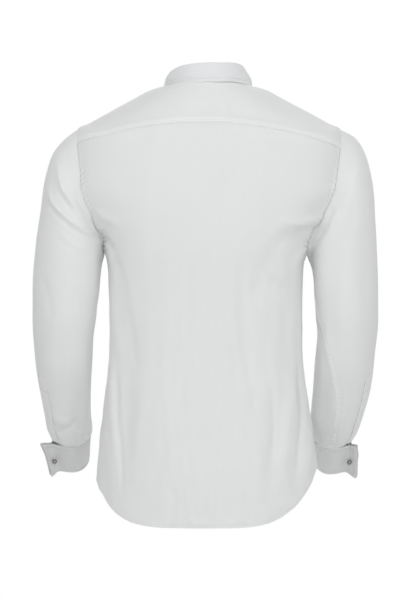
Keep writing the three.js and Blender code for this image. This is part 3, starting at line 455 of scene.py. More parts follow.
BODY_CREASES = folds(
    Face.BACK,
    (-1.1, 8, 170, -280, 157, -315, 143, -357, 133, -424, 125, -482, 119, -515),
    (1.2, 9, 184, -330, 170, -370, 160, -430, 150, -500),
    (-1.3, 4.5, 158, -474, 156, -568, 148, -672, 146, -720),
    (1.2, 5, 166, -480, 164, -570, 157, -670),
    (-1.6, 9, -54, -320, -58, -352, -67, -405, -70, -440),
    (1.3, 8, -36, -350, -46, -390, -56, -470, -68, -530, -86, -590),
    (-1.0, 6, -76, -545, -86, -575, -96, -605),
    (-1.5, 9, -108, -340, -122, -357, -136, -372),
    (1.0, 7, -122, -322, -140, -340, -152, -360),
    (-1.2, 5, -112, -520, -115, -560, -117, -610, -110, -680),
    (-1.5, 5, -158, -480, -170, -560, -164, -620, -156, -700),
    (1.3, 6, -148, -500, -158, -580, -150, -680),
    (1.1, 4.5, -184, -540, -184, -600, -176, -690),
    (1.4, 7, 30, -752, 20, -768, -14, -764),
    (-1.4, 6, -128, -738, -136, -750, -150, -738),
    (-1.2, 7, 60, -700, 54, -730, 66, -752),
    (-2.2, 8, 192, -262, 176, -278, 160, -306),
    (-2, 7, 188, -256, 182, -270, 176, -286),
    (1.6, 8, 196, -222, 176, -240, 150, -250),
    (1.8, 7, -206, -226, -192, -242, -160, -250, -130, -244),
    (-1.5, 8, -198, -252, -176, -262, -150, -268),
    (1.5, 6, -182, -290, -164, -304, -146, -330),
)

SLEEVE_COLUMNS = "outer_x outer_z inner_x inner_z mid_y deep tilt"
SLEEVE_RINGS = {
    Side.LEFT: Profile(
        SLEEVE_COLUMNS,
        [
            (0, 227, -80, 179, -290, -13, 61, 0),
            (34, 250, -97, 180, -295, -12, 65, 0),
            (66, 272, -124, 181, -303, -8, 69, 0),
            (104, 283, -160, 184, -318, -4, 70, 0),
            (156, 292, -214, 187, -344, 0, 69, 2),
            (220, 301, -280, 191, -376, 2, 66, 4),
            (290, 306, -352, 196, -416, 1, 63, 8),
            (344, 307, -412, 199, -440, -4, 60, 13),
            (400, 305, -474, 202, -482, -16, 56, 18),
            (455, 299, -528, 205, -530, -36, 51, 23),
            (515, 290, -582, 207, -583, -61, 45, 29),
            (545, 286, -608, 206, -608, -77, 42, 33),
            (557, 282, -618, 207.5, -618, -84, 39, 35),
            (563, 275.5, -623, 210.5, -623, -87, 35, 36),
            (568, 274.5, -627, 211.5, -627, -90, 34, 36),
        ],
    ),
    Side.RIGHT: Profile(
        SLEEVE_COLUMNS,
        [
            (0, 236, -80, 176, -302, -13, 61, 0),
            (34, 263, -95, 180, -308, -12, 65, 0),
            (66, 281, -124, 183, -315, -8, 69, 0),
            (104, 290, -160, 186, -328, -4, 70, 0),
            (156, 297, -214, 189, -350, 0, 69, 2),
            (220, 300, -280, 191, -380, 2, 66, 4),
            (290, 302, -352, 194, -416, 1, 63, 8),
            (344, 303, -412, 196, -440, -4, 60, 13),
            (400, 299, -474, 193, -482, -16, 56, 18),
            (455, 294, -528, 190, -532, -36, 52, 23),
            (515, 279, -586, 187, -588, -61, 47, 29),
            (545, 272, -610, 187, -611, -78, 43, 33),
            (557, 267, -620, 189, -620, -85, 39, 35),
            (563, 257.5, -626, 192.5, -626, -88, 35, 36),
            (568, 256.5, -630, 193.5, -630, -91, 34, 36),
        ],
    ),
}
SLEEVE_END = 568
CAP_FADE = 95

SLEEVE_FOLDS = {
    Side.LEFT: folds(
        Face.BACK,
        (7, 7, 264, -138, 258, -172, 240, -205, 214, -232, 192, -252),
        (-5, 8, 270, -150, 264, -186, 246, -214, 218, -244),
        (8, 7, 279, -170, 275, -200, 256, -228, 226, -252, 196, -264),
        (4, 8, 236, -150, 228, -190, 206, -222),
        (-4, 14, 262, -262, 240, -280, 216, -296),
        (-3, 16, 282, -300, 266, -350, 262, -410),
    ) + folds(
        Face.FRONT,
        (5, 10, 262, -160, 244, -210, 206, -256),
        (-4, 10, 250, -150, 228, -205, 200, -240),
        (-5, 13, 300, -420, 262, -436, 216, -430),
        (5, 12, 296, -452, 258, -464, 212, -456),
    ),
    Side.RIGHT: folds(
        Face.BACK,
        (-6, 12, 204, -190, 196, -236, 186, -280),
        (4, 14, 232, -200, 214, -260, 202, -320, 200, -400),
        (-3, 16, 276, -250, 268, -310, 272, -380),
        (3, 7, 204, -402, 214, -460, 224, -540, 226, -610),
    ) + folds(
        Face.FRONT,
        (5, 10, 268, -160, 246, -214, 200, -276),
        (-4, 10, 252, -156, 226, -215, 194, -262),
        (-5, 13, 298, -424, 258, -440, 208, -434),
        (5, 12, 292, -456, 252, -470, 204, -462),
    ),
}
SLEEVE_FOLD_SHARE = {Side.LEFT: 0.22, Side.RIGHT: 0.7}
SLEEVE_CREASES = {
    Side.LEFT: folds(
        Face.BACK,
        (1.5, 2.4, 262, -140, 258, -161, 251, -190, 230, -220, 209, -242, 195, -256, 176, -270),
        (-0.8, 3, 264, -172, 256, -197, 235, -226, 214, -248, 198, -261, 178, -276),
        (1.7, 2.4, 278, -182, 273, -198, 268, -213, 253, -230, 233, -248, 213, -262, 193, -269, 170, -276),
        (-1.0, 3, 281, -206, 273, -221, 258, -237, 237, -255, 215, -269, 190, -277, 172, -284),
        (-1.4, 4, 244, -170, 234, -198, 214, -222, 196, -236),
        (1.4, 6, 262, -258, 236, -282, 206, -296),
        (-4.5, 5, 192, -266, 180, -272, 168, -282),
        (-1.2, 7, 292, -330, 276, -372, 270, -420),
        (1.2, 7, 232, -330, 224, -380, 226, -440),
        (-3.4, 5, 226, -590, 240, -604, 254, -613, 266, -620),
        (2.4, 7, 276, -584, 264, -594, 250, -600, 236, -596),
        (-1.2, 4, 222, -590, 226, -606, 232, -616),
    ),
    Side.RIGHT: folds(
        Face.BACK,
        (1.8, 4, 216, -214, 208, -238, 196, -258, 188, -282, 184, -300),
        (-3.5, 5, 206, -250, 192, -276, 183, -296, 178, -314),
        (1.5, 5, 232, -214, 222, -240, 208, -272, 200, -300),
        (-1.2, 6, 226, -222, 214, -248, 202, -280),
        (1.2, 7, 250, -200, 238, -250, 232, -310),
        (-1.2, 7, 284, -300, 276, -350, 280, -400),
        (-1.2, 6, 262, -566, 250, -596, 244, -616),
        (1.2, 5, 238, -580, 234, -602, 230, -618),
    ),
}

FELLED_SEAM = {
    Side.LEFT: Profile("angle", [(0, 3), (250, 2.95), (SLEEVE_END, 2.75)]),
    Side.RIGHT: Profile(
        "angle",
        [(0, 3), (250, 2.9), (335, 2.59), (397, 2.13), (440, 1.88), (480, 1.72), (545, 1.68)]
        + [(SLEEVE_END, 1.69)],
    ),
}


class Body:
    """The body form: closed rings from the neck seam down. turn is 0 in front and grows by the left."""

    ripple = Ripple(height=0.85, longest=120, shortest=30, upright=4.5, seed=11)
    neck_ripple = Ripple(height=0.3, longest=60, shortest=24, upright=1.2, seed=12)

    def plain(self, turn: Array, down: Array) -> Array:
        """Points of the form without folds.

        A ring's plan is a superellipse, |x / half| ** square + |y / depth| ** square = 1, and its height goes
        from the side's to the middle's with the power RIDGE_POWER of how far it is from the side line.

        Args:
            turn: angles round the body.
            down: lengths below the neck seam.

        Returns:
            Points, in the shape of the two by 3.
        """
        turn, down = np.broadcast_arrays(np.asarray(turn, float), np.asarray(down, float))
        sin, cos = np.sin(turn), -np.cos(turn)
        value = {name: BODY_RINGS.read(name, down) for name in BODY_RINGS.names}
        depth = np.where(cos > 0, value["back"], value["front"])
        sides = np.abs(sin / value["half"]) ** value["square"] + np.abs(cos / depth) ** value["square"]
        radius = sides ** (-1 / value["square"])
        far_z = np.where(cos > 0, value["back_z"], value["front_z"])
        share = np.minimum(1, radius * np.abs(cos) / depth)
        z = mix(value["side_z"], far_z, share**RIDGE_POWER)
        return np.stack([value["shift"] + radius * sin, radius * cos, z], axis=-1)

    def plain_normal(self, turn: Array, down: Array) -> Array:
        """Outward normals of the form without folds, from steps either way."""
        around = self.plain(turn + 0.01, down) - self.plain(turn - 0.01, down)
        below = self.plain(turn, down + 1) - self.plain(turn, down - 1)
        return unit(np.cross(below, around))

    def relief(self, turn: Array, down: Array, point: Array) -> Array:
        """Heights of large folds, creases and ripples, which fade out at the side line and the neck."""
        x, y, z = point[..., 0], point[..., 1], point[..., 2]
        total = np.zeros(x.shape)
        for folds, fade, share in ((BODY_FOLDS, 45, FOLD_SHARE), (BODY_CREASES, 30, CREASE_SHARE)):
            for face, faced in ((Face.BACK, y > 0), (Face.FRONT, y <= 0)):
                heights = share * sum(fold.rise(x, z) for fold in folds if fold.face is face)
                total = total + np.where(faced, heights, 0) * ease(0, fade, np.abs(y))
        cloth = turn * MEAN_RADIUS
        soft = self.neck_ripple.rise(cloth, down) * (0.4 + ease(250, 700, down))
        return total + (self.ripple.rise(cloth, down) + soft) * ease(20, 70, down)

    def point(self, turn: Array, down: Array) -> Array:
        """Points of the form with all its folds."""
        plain = self.plain(turn, down)
        return plain + self.plain_normal(turn, down) * self.relief(turn, down, plain)[..., None]


class Arm:
    """The sleeve form of one side. angle is 0 outermost and a quarter turn at the back."""

    ripple = Ripple(height=0.6, longest=110, shortest=34, upright=1.8, seed=21)

    def __init__(self, side: Side, armhole: Armhole) -> None:
        """Takes the armhole whose oval the sleeve starts from."""
        self.side, self.armhole, self.rings = side, armhole, SLEEVE_RINGS[side]

    def ring(self, angle: Array, along: Array) -> Array:
        """Points of the plain form: an ellipse from an outer to an inner point, tilted forwards."""
        angle, along = np.broadcast_arrays(np.asarray(angle, float), np.asarray(along, float))
        value = {name: self.rings.read(name, along) for name in self.rings.names}
        cos, sin, tilt = np.cos(angle), np.sin(angle), value["tilt"] * DEGREE
        x = self.side.value * mix(value["inner_x"], value["outer_x"], (1 + cos) / 2)
        y = value["mid_y"] + sin * value["deep"] * np.cos(tilt)
        z = mix(value["inner_z"], value["outer_z"], (1 + cos) / 2) - sin * value["deep"] * np.sin(tilt)
        return np.stack([x, y, z], axis=-1)

    def plain(self, angle: Array, along: Array) -> Array:
        """Points of the form without folds, which leaves the armhole's own oval over CAP_FADE."""
        stay = (1 - ease(0, CAP_FADE, along))[..., None]
        oval = self.armhole.body.point(*self.armhole.place(angle, -HALF_GAP))
        return self.ring(angle, along) + stay * (oval - self.ring(angle, np.zeros_like(along)))

    def plain_normal(self, angle: Array, along: Array) -> Array:
        """Outward normals of the form without folds, from steps either way."""
        near = np.clip(along, 1, SLEEVE_END - 1)
        around = self.plain(angle + 0.02, near) - self.plain(angle - 0.02, near)
        below = self.plain(angle, near + 1) - self.plain(angle, near - 1)
        return unit(np.cross(below, around)) * self.side.value

    def relief(self, angle: Array, along: Array, point: Array) -> Array:
        """Heights of large folds, creases and ripples, which fade out at the sleeve's two ends."""
        x, z = self.side.value * point[..., 0], point[..., 2]
        back = np.sin(angle) > 0
        sides = np.abs(np.sin(angle))
        large = SLEEVE_FOLD_SHARE[self.side] * ease(0, 0.5, sides) * ease(8, 50, along)
        kinds = (
            (SLEEVE_FOLDS[self.side], large),
            (SLEEVE_CREASES[self.side], ease(0, 0.25, sides) * ease(1, 12, along)),
        )
        total = np.zeros(x.shape)
        for folds, fade in kinds:
            for face, faced in ((Face.BACK, back), (Face.FRONT, ~back)):
                heights = sum(fold.rise(x, z) for fold in folds if fold.face is face)
                total = total + np.where(faced, heights, 0) * fade
        around = 55 * np.cos(angle), 55 * np.sin(angle)
        soft = self.ripple.rise(around[0] + around[1], along + around[1] * 0.6)
        total = total + soft * ease(10, 60, along)
        gathers = 0.9 * np.sin(9 * angle + 2 * np.sin(angle)) * bell(along - 552, 17)
        return (total + gathers) * ease(0, 9, SLEEVE_END - along)

    def point(self, angle: Array, along: Array) -> Array:
        """Points of the form with all its folds."""
        angle, along = np.broadcast_arrays(np.asarray(angle, float), np.asarray(along, float))
        plain = self.plain(angle, along)
        return plain + self.plain_normal(angle, along) * self.relief(angle, along, plain)[..., None]


# Where the panels meet

HALF_GAP = 0.05
YOKE_BACK_Z = -75
YOKE_BACK_DIP = {Side.LEFT: 31, Side.RIGHT: 38}
YOKE_BACK_REACH = 222
YOKE_FRONT_NECK = 62 * DEGREE
YOKE_FRONT_TIP = 81 * DEGREE
YOKE_FRONT_POWER = 0.6
UNDERARM_BACK = 308
BACK_TURN = 12.5 * DEGREE
FRONT_TURN = 24 * DEGREE
ARMHOLE_TOP = 130
ARMHOLE_BOTTOM = {Side.LEFT: 305, Side.RIGHT: 315}
HEM_RING = 700


@dataclass(frozen=True)
class Hem:
    """A shirt tail's edge on one side: the side seam's length, and how far back and front fall below it."""

    side: float
    back: float
    front: float
    curve: float


HEMS = {Side.LEFT: Hem(713, 74, 52, 5.5), Side.RIGHT: Hem(687, 100, 78, 4)}


def turn_on(side: Side, turn: Array) -> Array:
    """A turn of the left side, mirrored for the right one."""
    return turn if side is Side.LEFT else 2 * math.pi - turn


class Armhole:
    """An oval on the body form, for a sleeve. Angle 0 is the shoulder tip, a quarter turn the back."""

    def __init__(self, side: Side, body: Body) -> None:
        """Works out where the yoke's two seams end on the oval."""
        self.side, self.body = side, body
        bottom = ARMHOLE_BOTTOM[side]
        self.middle, self.half = (ARMHOLE_TOP + bottom) / 2, (bottom - ARMHOLE_TOP) / 2
        self.bottom = bottom
        share = (math.pi / 2 - YOKE_FRONT_TIP) / FRONT_TURN
        self.tip_down = self.middle - self.half * math.sqrt(1 - share**2)
        self.tip = -math.asin(share)
        self.corner = float(halve(0.05, 1.5, (1,), self._above_seam)[0])

    def _above_seam(self, angle: Array) -> Array:
        """Whether angles on the oval are above the yoke's back seam."""
        point = self.body.plain(*self.place(angle, 0))
        return point[..., 2] > yoke_back_z(point[..., 0])

    def place(self, angle: Array, grow: Array | float) -> tuple[Array, Array]:
        """Turn and length of places on the oval, grown into the body by a distance."""
        width = np.where(np.sin(angle) > 0, BACK_TURN, FRONT_TURN) + grow / 200
        turn = turn_on(self.side, math.pi / 2 + width * np.sin(angle))
        return turn, self.middle - (self.half + grow) * np.cos(angle)

    def path(self, count: int = 360) -> Array:
        """The seam as a closed path in space."""
        angle = np.linspace(0, 2 * math.pi, count)
        return self.body.point(*self.place(angle, 0.0))


def yoke_back_z(x: Array) -> Array:
    """Height of the yoke's back seam at sideways places: level behind, a parabola to the armholes."""
    dip = np.where(x > 0, YOKE_BACK_DIP[Side.LEFT], YOKE_BACK_DIP[Side.RIGHT])
    return YOKE_BACK_Z - dip * (x / YOKE_BACK_REACH) ** 2


def yoke_back_down(body: Body, turn: Array) -> Array:
    """Lengths below the neck seam where the yoke's back seam crosses turns."""

    def above(down: Array) -> Array:
        """Whether lengths are above the seam."""
        point = body.plain(turn, down)
        return point[..., 2] > yoke_back_z(point[..., 0])

    return halve(20, 200, np.shape(turn), above)


def yoke_front_turn(share: Array) -> Array:
    """Turn of the yoke's front seam, on the left, from the neck (0) to the armhole (1)."""
    return mix(YOKE_FRONT_NECK, YOKE_FRONT_TIP, np.asarray(share) ** YOKE_FRONT_POWER)


def front_seam_radius(share: Array) -> Array:
    """How far the yoke's front seam is from the middle, to turn lengths beside it into turns."""
    return mix(68, 230, share)


def hem_down(body: Body, turn: Array) -> Array:
    """Lengths below the neck seam of the hem: the side's, and a drop of 1 - |x / half| ** curve."""
    point = body.plain(turn, np.full(np.shape(turn), float(HEM_RING)))
    x = np.abs(point[..., 0] - BODY_RINGS.read("shift", HEM_RING)) / BODY_RINGS.read("half", HEM_RING)
    left, right = HEMS[Side.LEFT], HEMS[Side.RIGHT]
    on_left, behind = np.sin(turn) > 0, point[..., 1] > 0
    side = np.where(on_left, left.side, right.side)
    curve = np.where(on_left, left.curve, right.curve)
    back, front = np.where(on_left, left.back, right.back), np.where(on_left, left.front, right.front)
    return side + np.where(behind, back, front) * (1 - np.minimum(1, x) ** curve)


def underarm_down(turn: Array) -> Array:
    """Lengths below the neck seam of the level that joins the two underarms across the back."""
    bottom = np.where(np.sin(turn) > 0, ARMHOLE_BOTTOM[Side.LEFT], ARMHOLE_BOTTOM[Side.RIGHT])
    return mix(UNDERARM_BACK, bottom, np.sin(turn) ** 2)


# Shader nodes


class Wire:
    """One output socket, on which arithmetic adds Math nodes."""

    def __init__(self, tree: bpy.types.NodeTree, socket: bpy.types.NodeSocket) -> None:
        """Wraps a socket of a node tree."""
        self.tree, self.socket = tree, socket

    def _math(self, operation: str, a: Wire | float, b: Wire | float = 0.0) -> Wire:
        """A Math node of two inputs, each a wire or a number."""
        node = self.tree.nodes.new("ShaderNodeMath")
        node.operation = operation
        for slot, value in zip(node.inputs, (a, b)):
            if isinstance(value, Wire):
                self.tree.links.new(value.socket, slot)
            else:
                slot.default_value = value
        return Wire(self.tree, node.outputs[0])

    def __add__(self, other: Wire | float) -> Wire:
        """Sum."""
        return self._math("ADD", self, other)

    def __radd__(self, other: float) -> Wire:
        """Sum with a number first."""
        return self._math("ADD", other, self)

    def __sub__(self, other: Wire | float) -> Wire:
        """Difference."""
        return self._math("SUBTRACT", self, other)

    def __rsub__(self, other: float) -> Wire:
        """Difference from a number."""
        return self._math("SUBTRACT", other, self)

    def __mul__(self, other: Wire | float) -> Wire:
        """Product."""
        return self._math("MULTIPLY", self, other)

    def __rmul__(self, other: float) -> Wire:
        """Product with a number first."""
        return self._math("MULTIPLY", other, self)

    def sine(self) -> Wire:
        """Sine, in radians."""
        return self._math("SINE", self)


class Shader:
    """A material's nodes: one Principled shader, and whatever is wired to it."""

    def __init__(self, name: str) -> None:
        """Starts an empty material with a Principled shader and its output."""
        self.material = bpy.data.materials.new(name)
        self.material.use_nodes = True
        self.tree = self.material.node_tree
        self.tree.nodes.clear()
        self.surface = self.tree.nodes.new("ShaderNodeBsdfPrincipled")
        output = self.tree.nodes.new("ShaderNodeOutputMaterial")
        self.tree.links.new(self.surface.outputs[0], output.inputs["Surface"])

    def node(
        self, kind: str, settings: dict | None = None, inputs: dict | None = None, out: int | str = 0
    ) -> Wire:
        """Adds a node.

        Args:
            kind: Blender's type of node.
            settings: attributes that are set first.
            inputs: socket names or places, to numbers, colours or wires.
            out: the output that is wanted.

        Returns:
            That output.
        """
        made = self.tree.nodes.new(kind)
        for name, value in (settings or {}).items():
            setattr(made, name, value)
        for name, value in (inputs or {}).items():
            self.feed(made.inputs[name], value)
        return Wire(self.tree, made.outputs[out])

    def feed(self, slot: bpy.types.NodeSocket, value: Wire | float | Sequence[float]) -> None:
        """Links a wire to an input, or sets its value."""
        if isinstance(value, Wire):
            self.tree.links.new(value.socket, slot)
        else:
            slot.default_value = value

    def principled(self, **inputs: Wire | float | Sequence[float]) -> None:
        """Sets inputs of the Principled shader, with underscores for the spaces in their names."""
        names = {slot.name.replace(" ", "_").lower(): slot for slot in self.surface.inputs}
        for name, value in inputs.items():
            self.feed(names[name], value)

    def tint(self, factor: Wire, low: Sequence[float], high: Sequence[float]) -> Wire:
        """A colour between two, by a factor."""
        inputs = {"Factor": factor, 6: (*low, 1.0), 7: (*high, 1.0)}
        return self.node("ShaderNodeMix", {"data_type": "RGBA"}, inputs, out=2)

    def noise(self, vector: Wire, scale: float, detail: float = 2.0) -> Wire:
        """Noise from 0 to 1 on a vector."""
        return self.node("ShaderNodeTexNoise", None, {"Vector": vector, "Scale": scale, "Detail": detail})


@dataclass(frozen=True)
class Cotton:
    """White cotton poplin: a fine plain weave, nearly matt, with thicker and thinner threads.

    Its colour lies midway between low and high, and moves towards either where the piece's layers attribute
    says so, which holds the seams' layers and painted highlight and shade.
    """

    name: str = "cotton_poplin"
    low: tuple[float, float, float] = (0.74, 0.75, 0.74)
    high: tuple[float, float, float] = (0.94, 0.95, 0.94)
    roughness: float = 0.78
    thread: float = 0.0007
    relief: float = 0.00006
    sheen: float = 0.12

    def make(self) -> bpy.types.Material:
        """Wires the weave, two crossed sines of the cloth's own UV map, slow changes of whiteness, and the
        layers attribute with its painted highlight and shade.
        """
        shader = Shader(self.name)
        cloth = shader.node("ShaderNodeUVMap", {"uv_map": "cloth"})
        across = shader.node("ShaderNodeSeparateXYZ", None, {"Vector": cloth}, out="X")
        down = shader.node("ShaderNodeSeparateXYZ", None, {"Vector": cloth}, out="Y")
        turns = 2 * math.pi / self.thread
        weave = (across * turns).sine() * (down * turns).sine()
        slub = shader.noise(cloth, 900, 3)
        cloud = shader.noise(cloth, 14, 3)
        # The layers attribute brings the painted highlight and shade beside the seams into the colour.
        layers = shader.node("ShaderNodeAttribute", {"attribute_name": "layers"}, out="Fac")
        tone_and_painted_light = cloud * 0.12 + slub * 0.06 + weave * 0.016 + layers * 0.5 + 0.41
        grain = weave * 0.5 + slub * 0.8
        relief = {"Strength": 0.55, "Distance": self.relief, "Height": grain}
        bump = shader.node("ShaderNodeBump", None, relief)
        shader.principled(
            base_color=shader.tint(tone_and_painted_light, self.low, self.high),
            roughness=self.roughness - 0.06 + slub * 0.12,
            normal=bump,
            sheen_weight=self.sheen,
            sheen_roughness=0.4,
            specular_ior_level=0.3,
        )
        return shader.material


FUSED_COTTON = Cotton("fused_cotton", (0.75, 0.76, 0.765), (0.93, 0.94, 0.945))
# A darker copy of the cotton for the cuffs: painted shade, as their faces turn downwards from the light.
CUFF_COTTON_PAINTED_SHADE = Cotton("doubled_cotton", (0.64, 0.645, 0.64), (0.84, 0.845, 0.84))


@dataclass(frozen=True)
class Thread:
    """Sewing thread, a little glossier than the cloth, in two twisted plies."""

    name: str = "sewing_thread"
    colour: tuple[float, float, float] = (0.74, 0.75, 0.74)

    def make(self) -> bpy.types.Material:
        """Wires a fine twist on object coordinates into the bump."""
        shader = Shader(self.name)
        place = shader.node("ShaderNodeTexCoord", out="Object")
        twist = shader.noise(place, 4000, 1)
        bump = shader.node("ShaderNodeBump", None, {"Strength": 0.3, "Distance": 0.00005, "Height": twist})
        darker = tuple(0.93 * value for value in self.colour)
        shader.principled(
            base_color=shader.tint(twist, darker, self.colour), roughness=0.55 + twist * 0.1, normal=bump
        )
        return shader.material


@dataclass(frozen=True)
class Pearl:
    """A pearly button's face: cloudy bands under a clear gloss."""

    name: str = "pearl_button"
    low: tuple[float, float, float] = (0.66, 0.64, 0.6)
    high: tuple[float, float, float] = (0.86, 0.86, 0.84)

    def make(self) -> bpy.types.Material:
        """Wires warped bands of tone and a slight unevenness of the gloss."""
        shader = Shader(self.name)
        place = shader.node("ShaderNodeTexCoord", out="Object")
        cloud = shader.noise(place, 420, 4)
        bump = shader.node("ShaderNodeBump", None, {"Strength": 0.15, "Distance": 0.0001, "Height": cloud})
        shader.principled(
            base_color=shader.tint(cloud, self.low, self.high),
            roughness=0.16 + cloud * 0.12,
            normal=bump,
            coat_weight=0.4,
            specular_ior_level=0.6,
        )
        return shader.material


@dataclass(frozen=True)
class Polished:
    """Polished silver-coloured metal with faint wear."""

    name: str = "polished_link"
    low: tuple[float, float, float] = (0.2, 0.2, 0.19)
    high: tuple[float, float, float] = (0.42, 0.42, 0.4)

    def make(self) -> bpy.types.Material:
        """Wires faint scuffs into the colour, roughness and bump."""
        shader = Shader(self.name)
        place = shader.node("ShaderNodeTexCoord", out="Object")
        scuff = shader.noise(place, 900, 4)
        bump = shader.node("ShaderNodeBump", None, {"Strength": 0.1, "Distance": 0.00005, "Height": scuff})
        shader.principled(
            base_color=shader.tint(scuff, self.low, self.high),
            roughness=0.14 + scuff * 0.14,
            normal=bump,
            metallic=1.0,
        )
        return shader.material


# Meshes


@dataclass
class Wardrobe:
    """Makes objects out of arrays, dresses them, and ties each to the frame."""

    cotton: bpy.types.Material = field(default_factory=lambda: Cotton().make())
    fused: bpy.types.Material = field(default_factory=lambda: FUSED_COTTON.make())
    # The cuffs' darker cotton, which is painted shade.
    doubled: bpy.types.Material = field(default_factory=lambda: CUFF_COTTON_PAINTED_SHADE.make())
    thread: bpy.types.Material = field(default_factory=lambda: Thread().make())
    pearl: bpy.types.Material = field(default_factory=lambda: Pearl().make())
    polished: bpy.types.Material = field(default_factory=lambda: Polished().make())

    def mesh(
        self, name: str, points: Array, faces: Array, material: bpy.types.Material, smooth: Array | None = None
    ) -> bpy.types.Object:
        """Makes an object of points in millimetres and faces of four corners, at the origin.

        Args:
            name: the object's name.
            points: its points.
            faces: the places of each face's corners among them.
            material: its finish.
            smooth: which faces are shaded smooth, or None for all of them.

        Returns:
            The object.
        """
        mesh = bpy.data.meshes.new(name)
        mesh.vertices.add(len(points))
        mesh.vertices.foreach_set("co", (points * MM).astype(np.float32).ravel())
        mesh.loops.add(faces.size)
        mesh.loops.foreach_set("vertex_index", faces.astype(np.int32).ravel())
        mesh.polygons.add(len(faces))
        mesh.polygons.foreach_set("loop_start", np.arange(0, faces.size, faces.shape[1], dtype=np.int32))
        mesh.polygons.foreach_set("use_smooth", np.ones(len(faces), bool) if smooth is None else smooth)
        mesh.update(calc_edges=True)
        mesh.validate()
        mesh.materials.append(material)
        made = bpy.data.objects.new(name, mesh)
        bpy.context.scene.collection.objects.link(made)
        log.info("%s: %d faces", name, len(mesh.polygons))
        return made

    def shell(
        self,
        name: str,
        outer: Array,
        cloth: Array,
        thick: Array | float,
        around: bool = False,
        mirrored: bool = False,
        turned: Edge | None = None,
        material: bpy.types.Material | None = None,
        layers_and_painted_light: Array | None = None,
    ) -> bpy.types.Object:
        """Makes a closed thin shell: a grid, the same grid moved in along its normals, and their rim.

        Args:
            name: the object's name.
            outer: the seen face, rows by columns by 3, in millimetres.
            cloth: each point's place on the flat cloth, rows by columns by 2, in millimetres.
            thick: the shell's thickness.
            around: whether the last column joins the first.
            mirrored: whether the grid's faces have to be turned round.
            turned: the edge that is turned under, which is shaded flat as the rim is.
            material: its finish, or None for the plain cotton.
            layers_and_painted_light: how much lighter or darker the colour is at each point, the layers' own
                whiteness with painted highlight and shade, or None.

        Returns:
            The object, with the cloth's places as its UV map.
        """
        rows, columns = outer.shape[:2]
        sign = -1.0 if mirrored else 1.0
        inner = outer - sign * grid_normals(outer, around) * np.asarray(thick)[..., None]
        points = np.concatenate([outer.reshape(-1, 3), inner.reshape(-1, 3)])
        index = np.arange(rows * columns).reshape(rows, columns)
        wide = np.concatenate([index, index[:, :1]], axis=1) if around else index
        far = wide + rows * columns

        def quads(a: Array, b: Array, c: Array, d: Array) -> Array:
            """Faces of four corners."""
            return np.stack([a.ravel(), b.ravel(), c.ravel(), d.ravel()], axis=1)

        faces = [
            quads(wide[:-1, :-1], wide[1:, :-1], wide[1:, 1:], wide[:-1, 1:]),
            quads(far[:-1, :-1], far[:-1, 1:], far[1:, 1:], far[1:, :-1]),
            quads(wide[0, :-1], wide[0, 1:], far[0, 1:], far[0, :-1]),
            quads(wide[-1, 1:], wide[-1, :-1], far[-1, :-1], far[-1, 1:]),
        ]
        if not around:
            faces.append(quads(wide[1:, 0], wide[:-1, 0], far[:-1, 0], far[1:, 0]))
            faces.append(quads(wide[:-1, -1], wide[1:, -1], far[1:, -1], far[:-1, -1]))
        seen = np.ones((rows - 1, wide.shape[1] - 1), bool)
        if turned:
            turned.seen_as_rows(seen)[:2] = False
        rim = np.zeros(sum(map(len, faces[2:])), bool)
        smooth = np.concatenate([seen.ravel(), seen.ravel(), rim])
        faces = np.concatenate(faces)
        if mirrored:
            faces = faces[:, ::-1]
        made = self.mesh(name, points, faces, material or self.cotton, smooth)
        self.lay_flat(made, np.concatenate([cloth.reshape(-1, 2)] * 2))
        # The layers attribute carries painted highlight and shade into the colour.
        if layers_and_painted_light is not None:
            layer = made.data.attributes.new("layers", "FLOAT", "POINT")
            layer.data.foreach_set("value", np.concatenate([layers_and_painted_light.ravel()] * 2).astype(np.float32))
        return made

    def lay_flat(self, made: bpy.types.Object, cloth: Array) -> None:
        """Writes the UV map from each point's place on the flat cloth, in metres."""
        mesh = made.data
        corner = np.empty(len(mesh.loops), np.int32)
        mesh.loops.foreach_get("vertex_index", corner)
        layer = mesh.uv_layers.new(name="cloth")
        layer.data.foreach_set("uv", (cloth[corner] * MM).astype(np.float32).ravel())

    def fit(self, made: bpy.types.Object, nodes: Sequence[str], slot: str) -> bpy.types.Object:
        """Ties a piece to the body, in place of nodes."""
        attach(made, BODY)
        if nodes:
            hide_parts(*nodes)
        return made

    def sheet(self, made: bpy.types.Object, node: str, outer: Array, held: str) -> None:
        """Ties a cloth piece to the body in place of its node and works out its flat size."""
        self.fit(made, (node,), "cotton")
        flat, area = flat_size(outer)

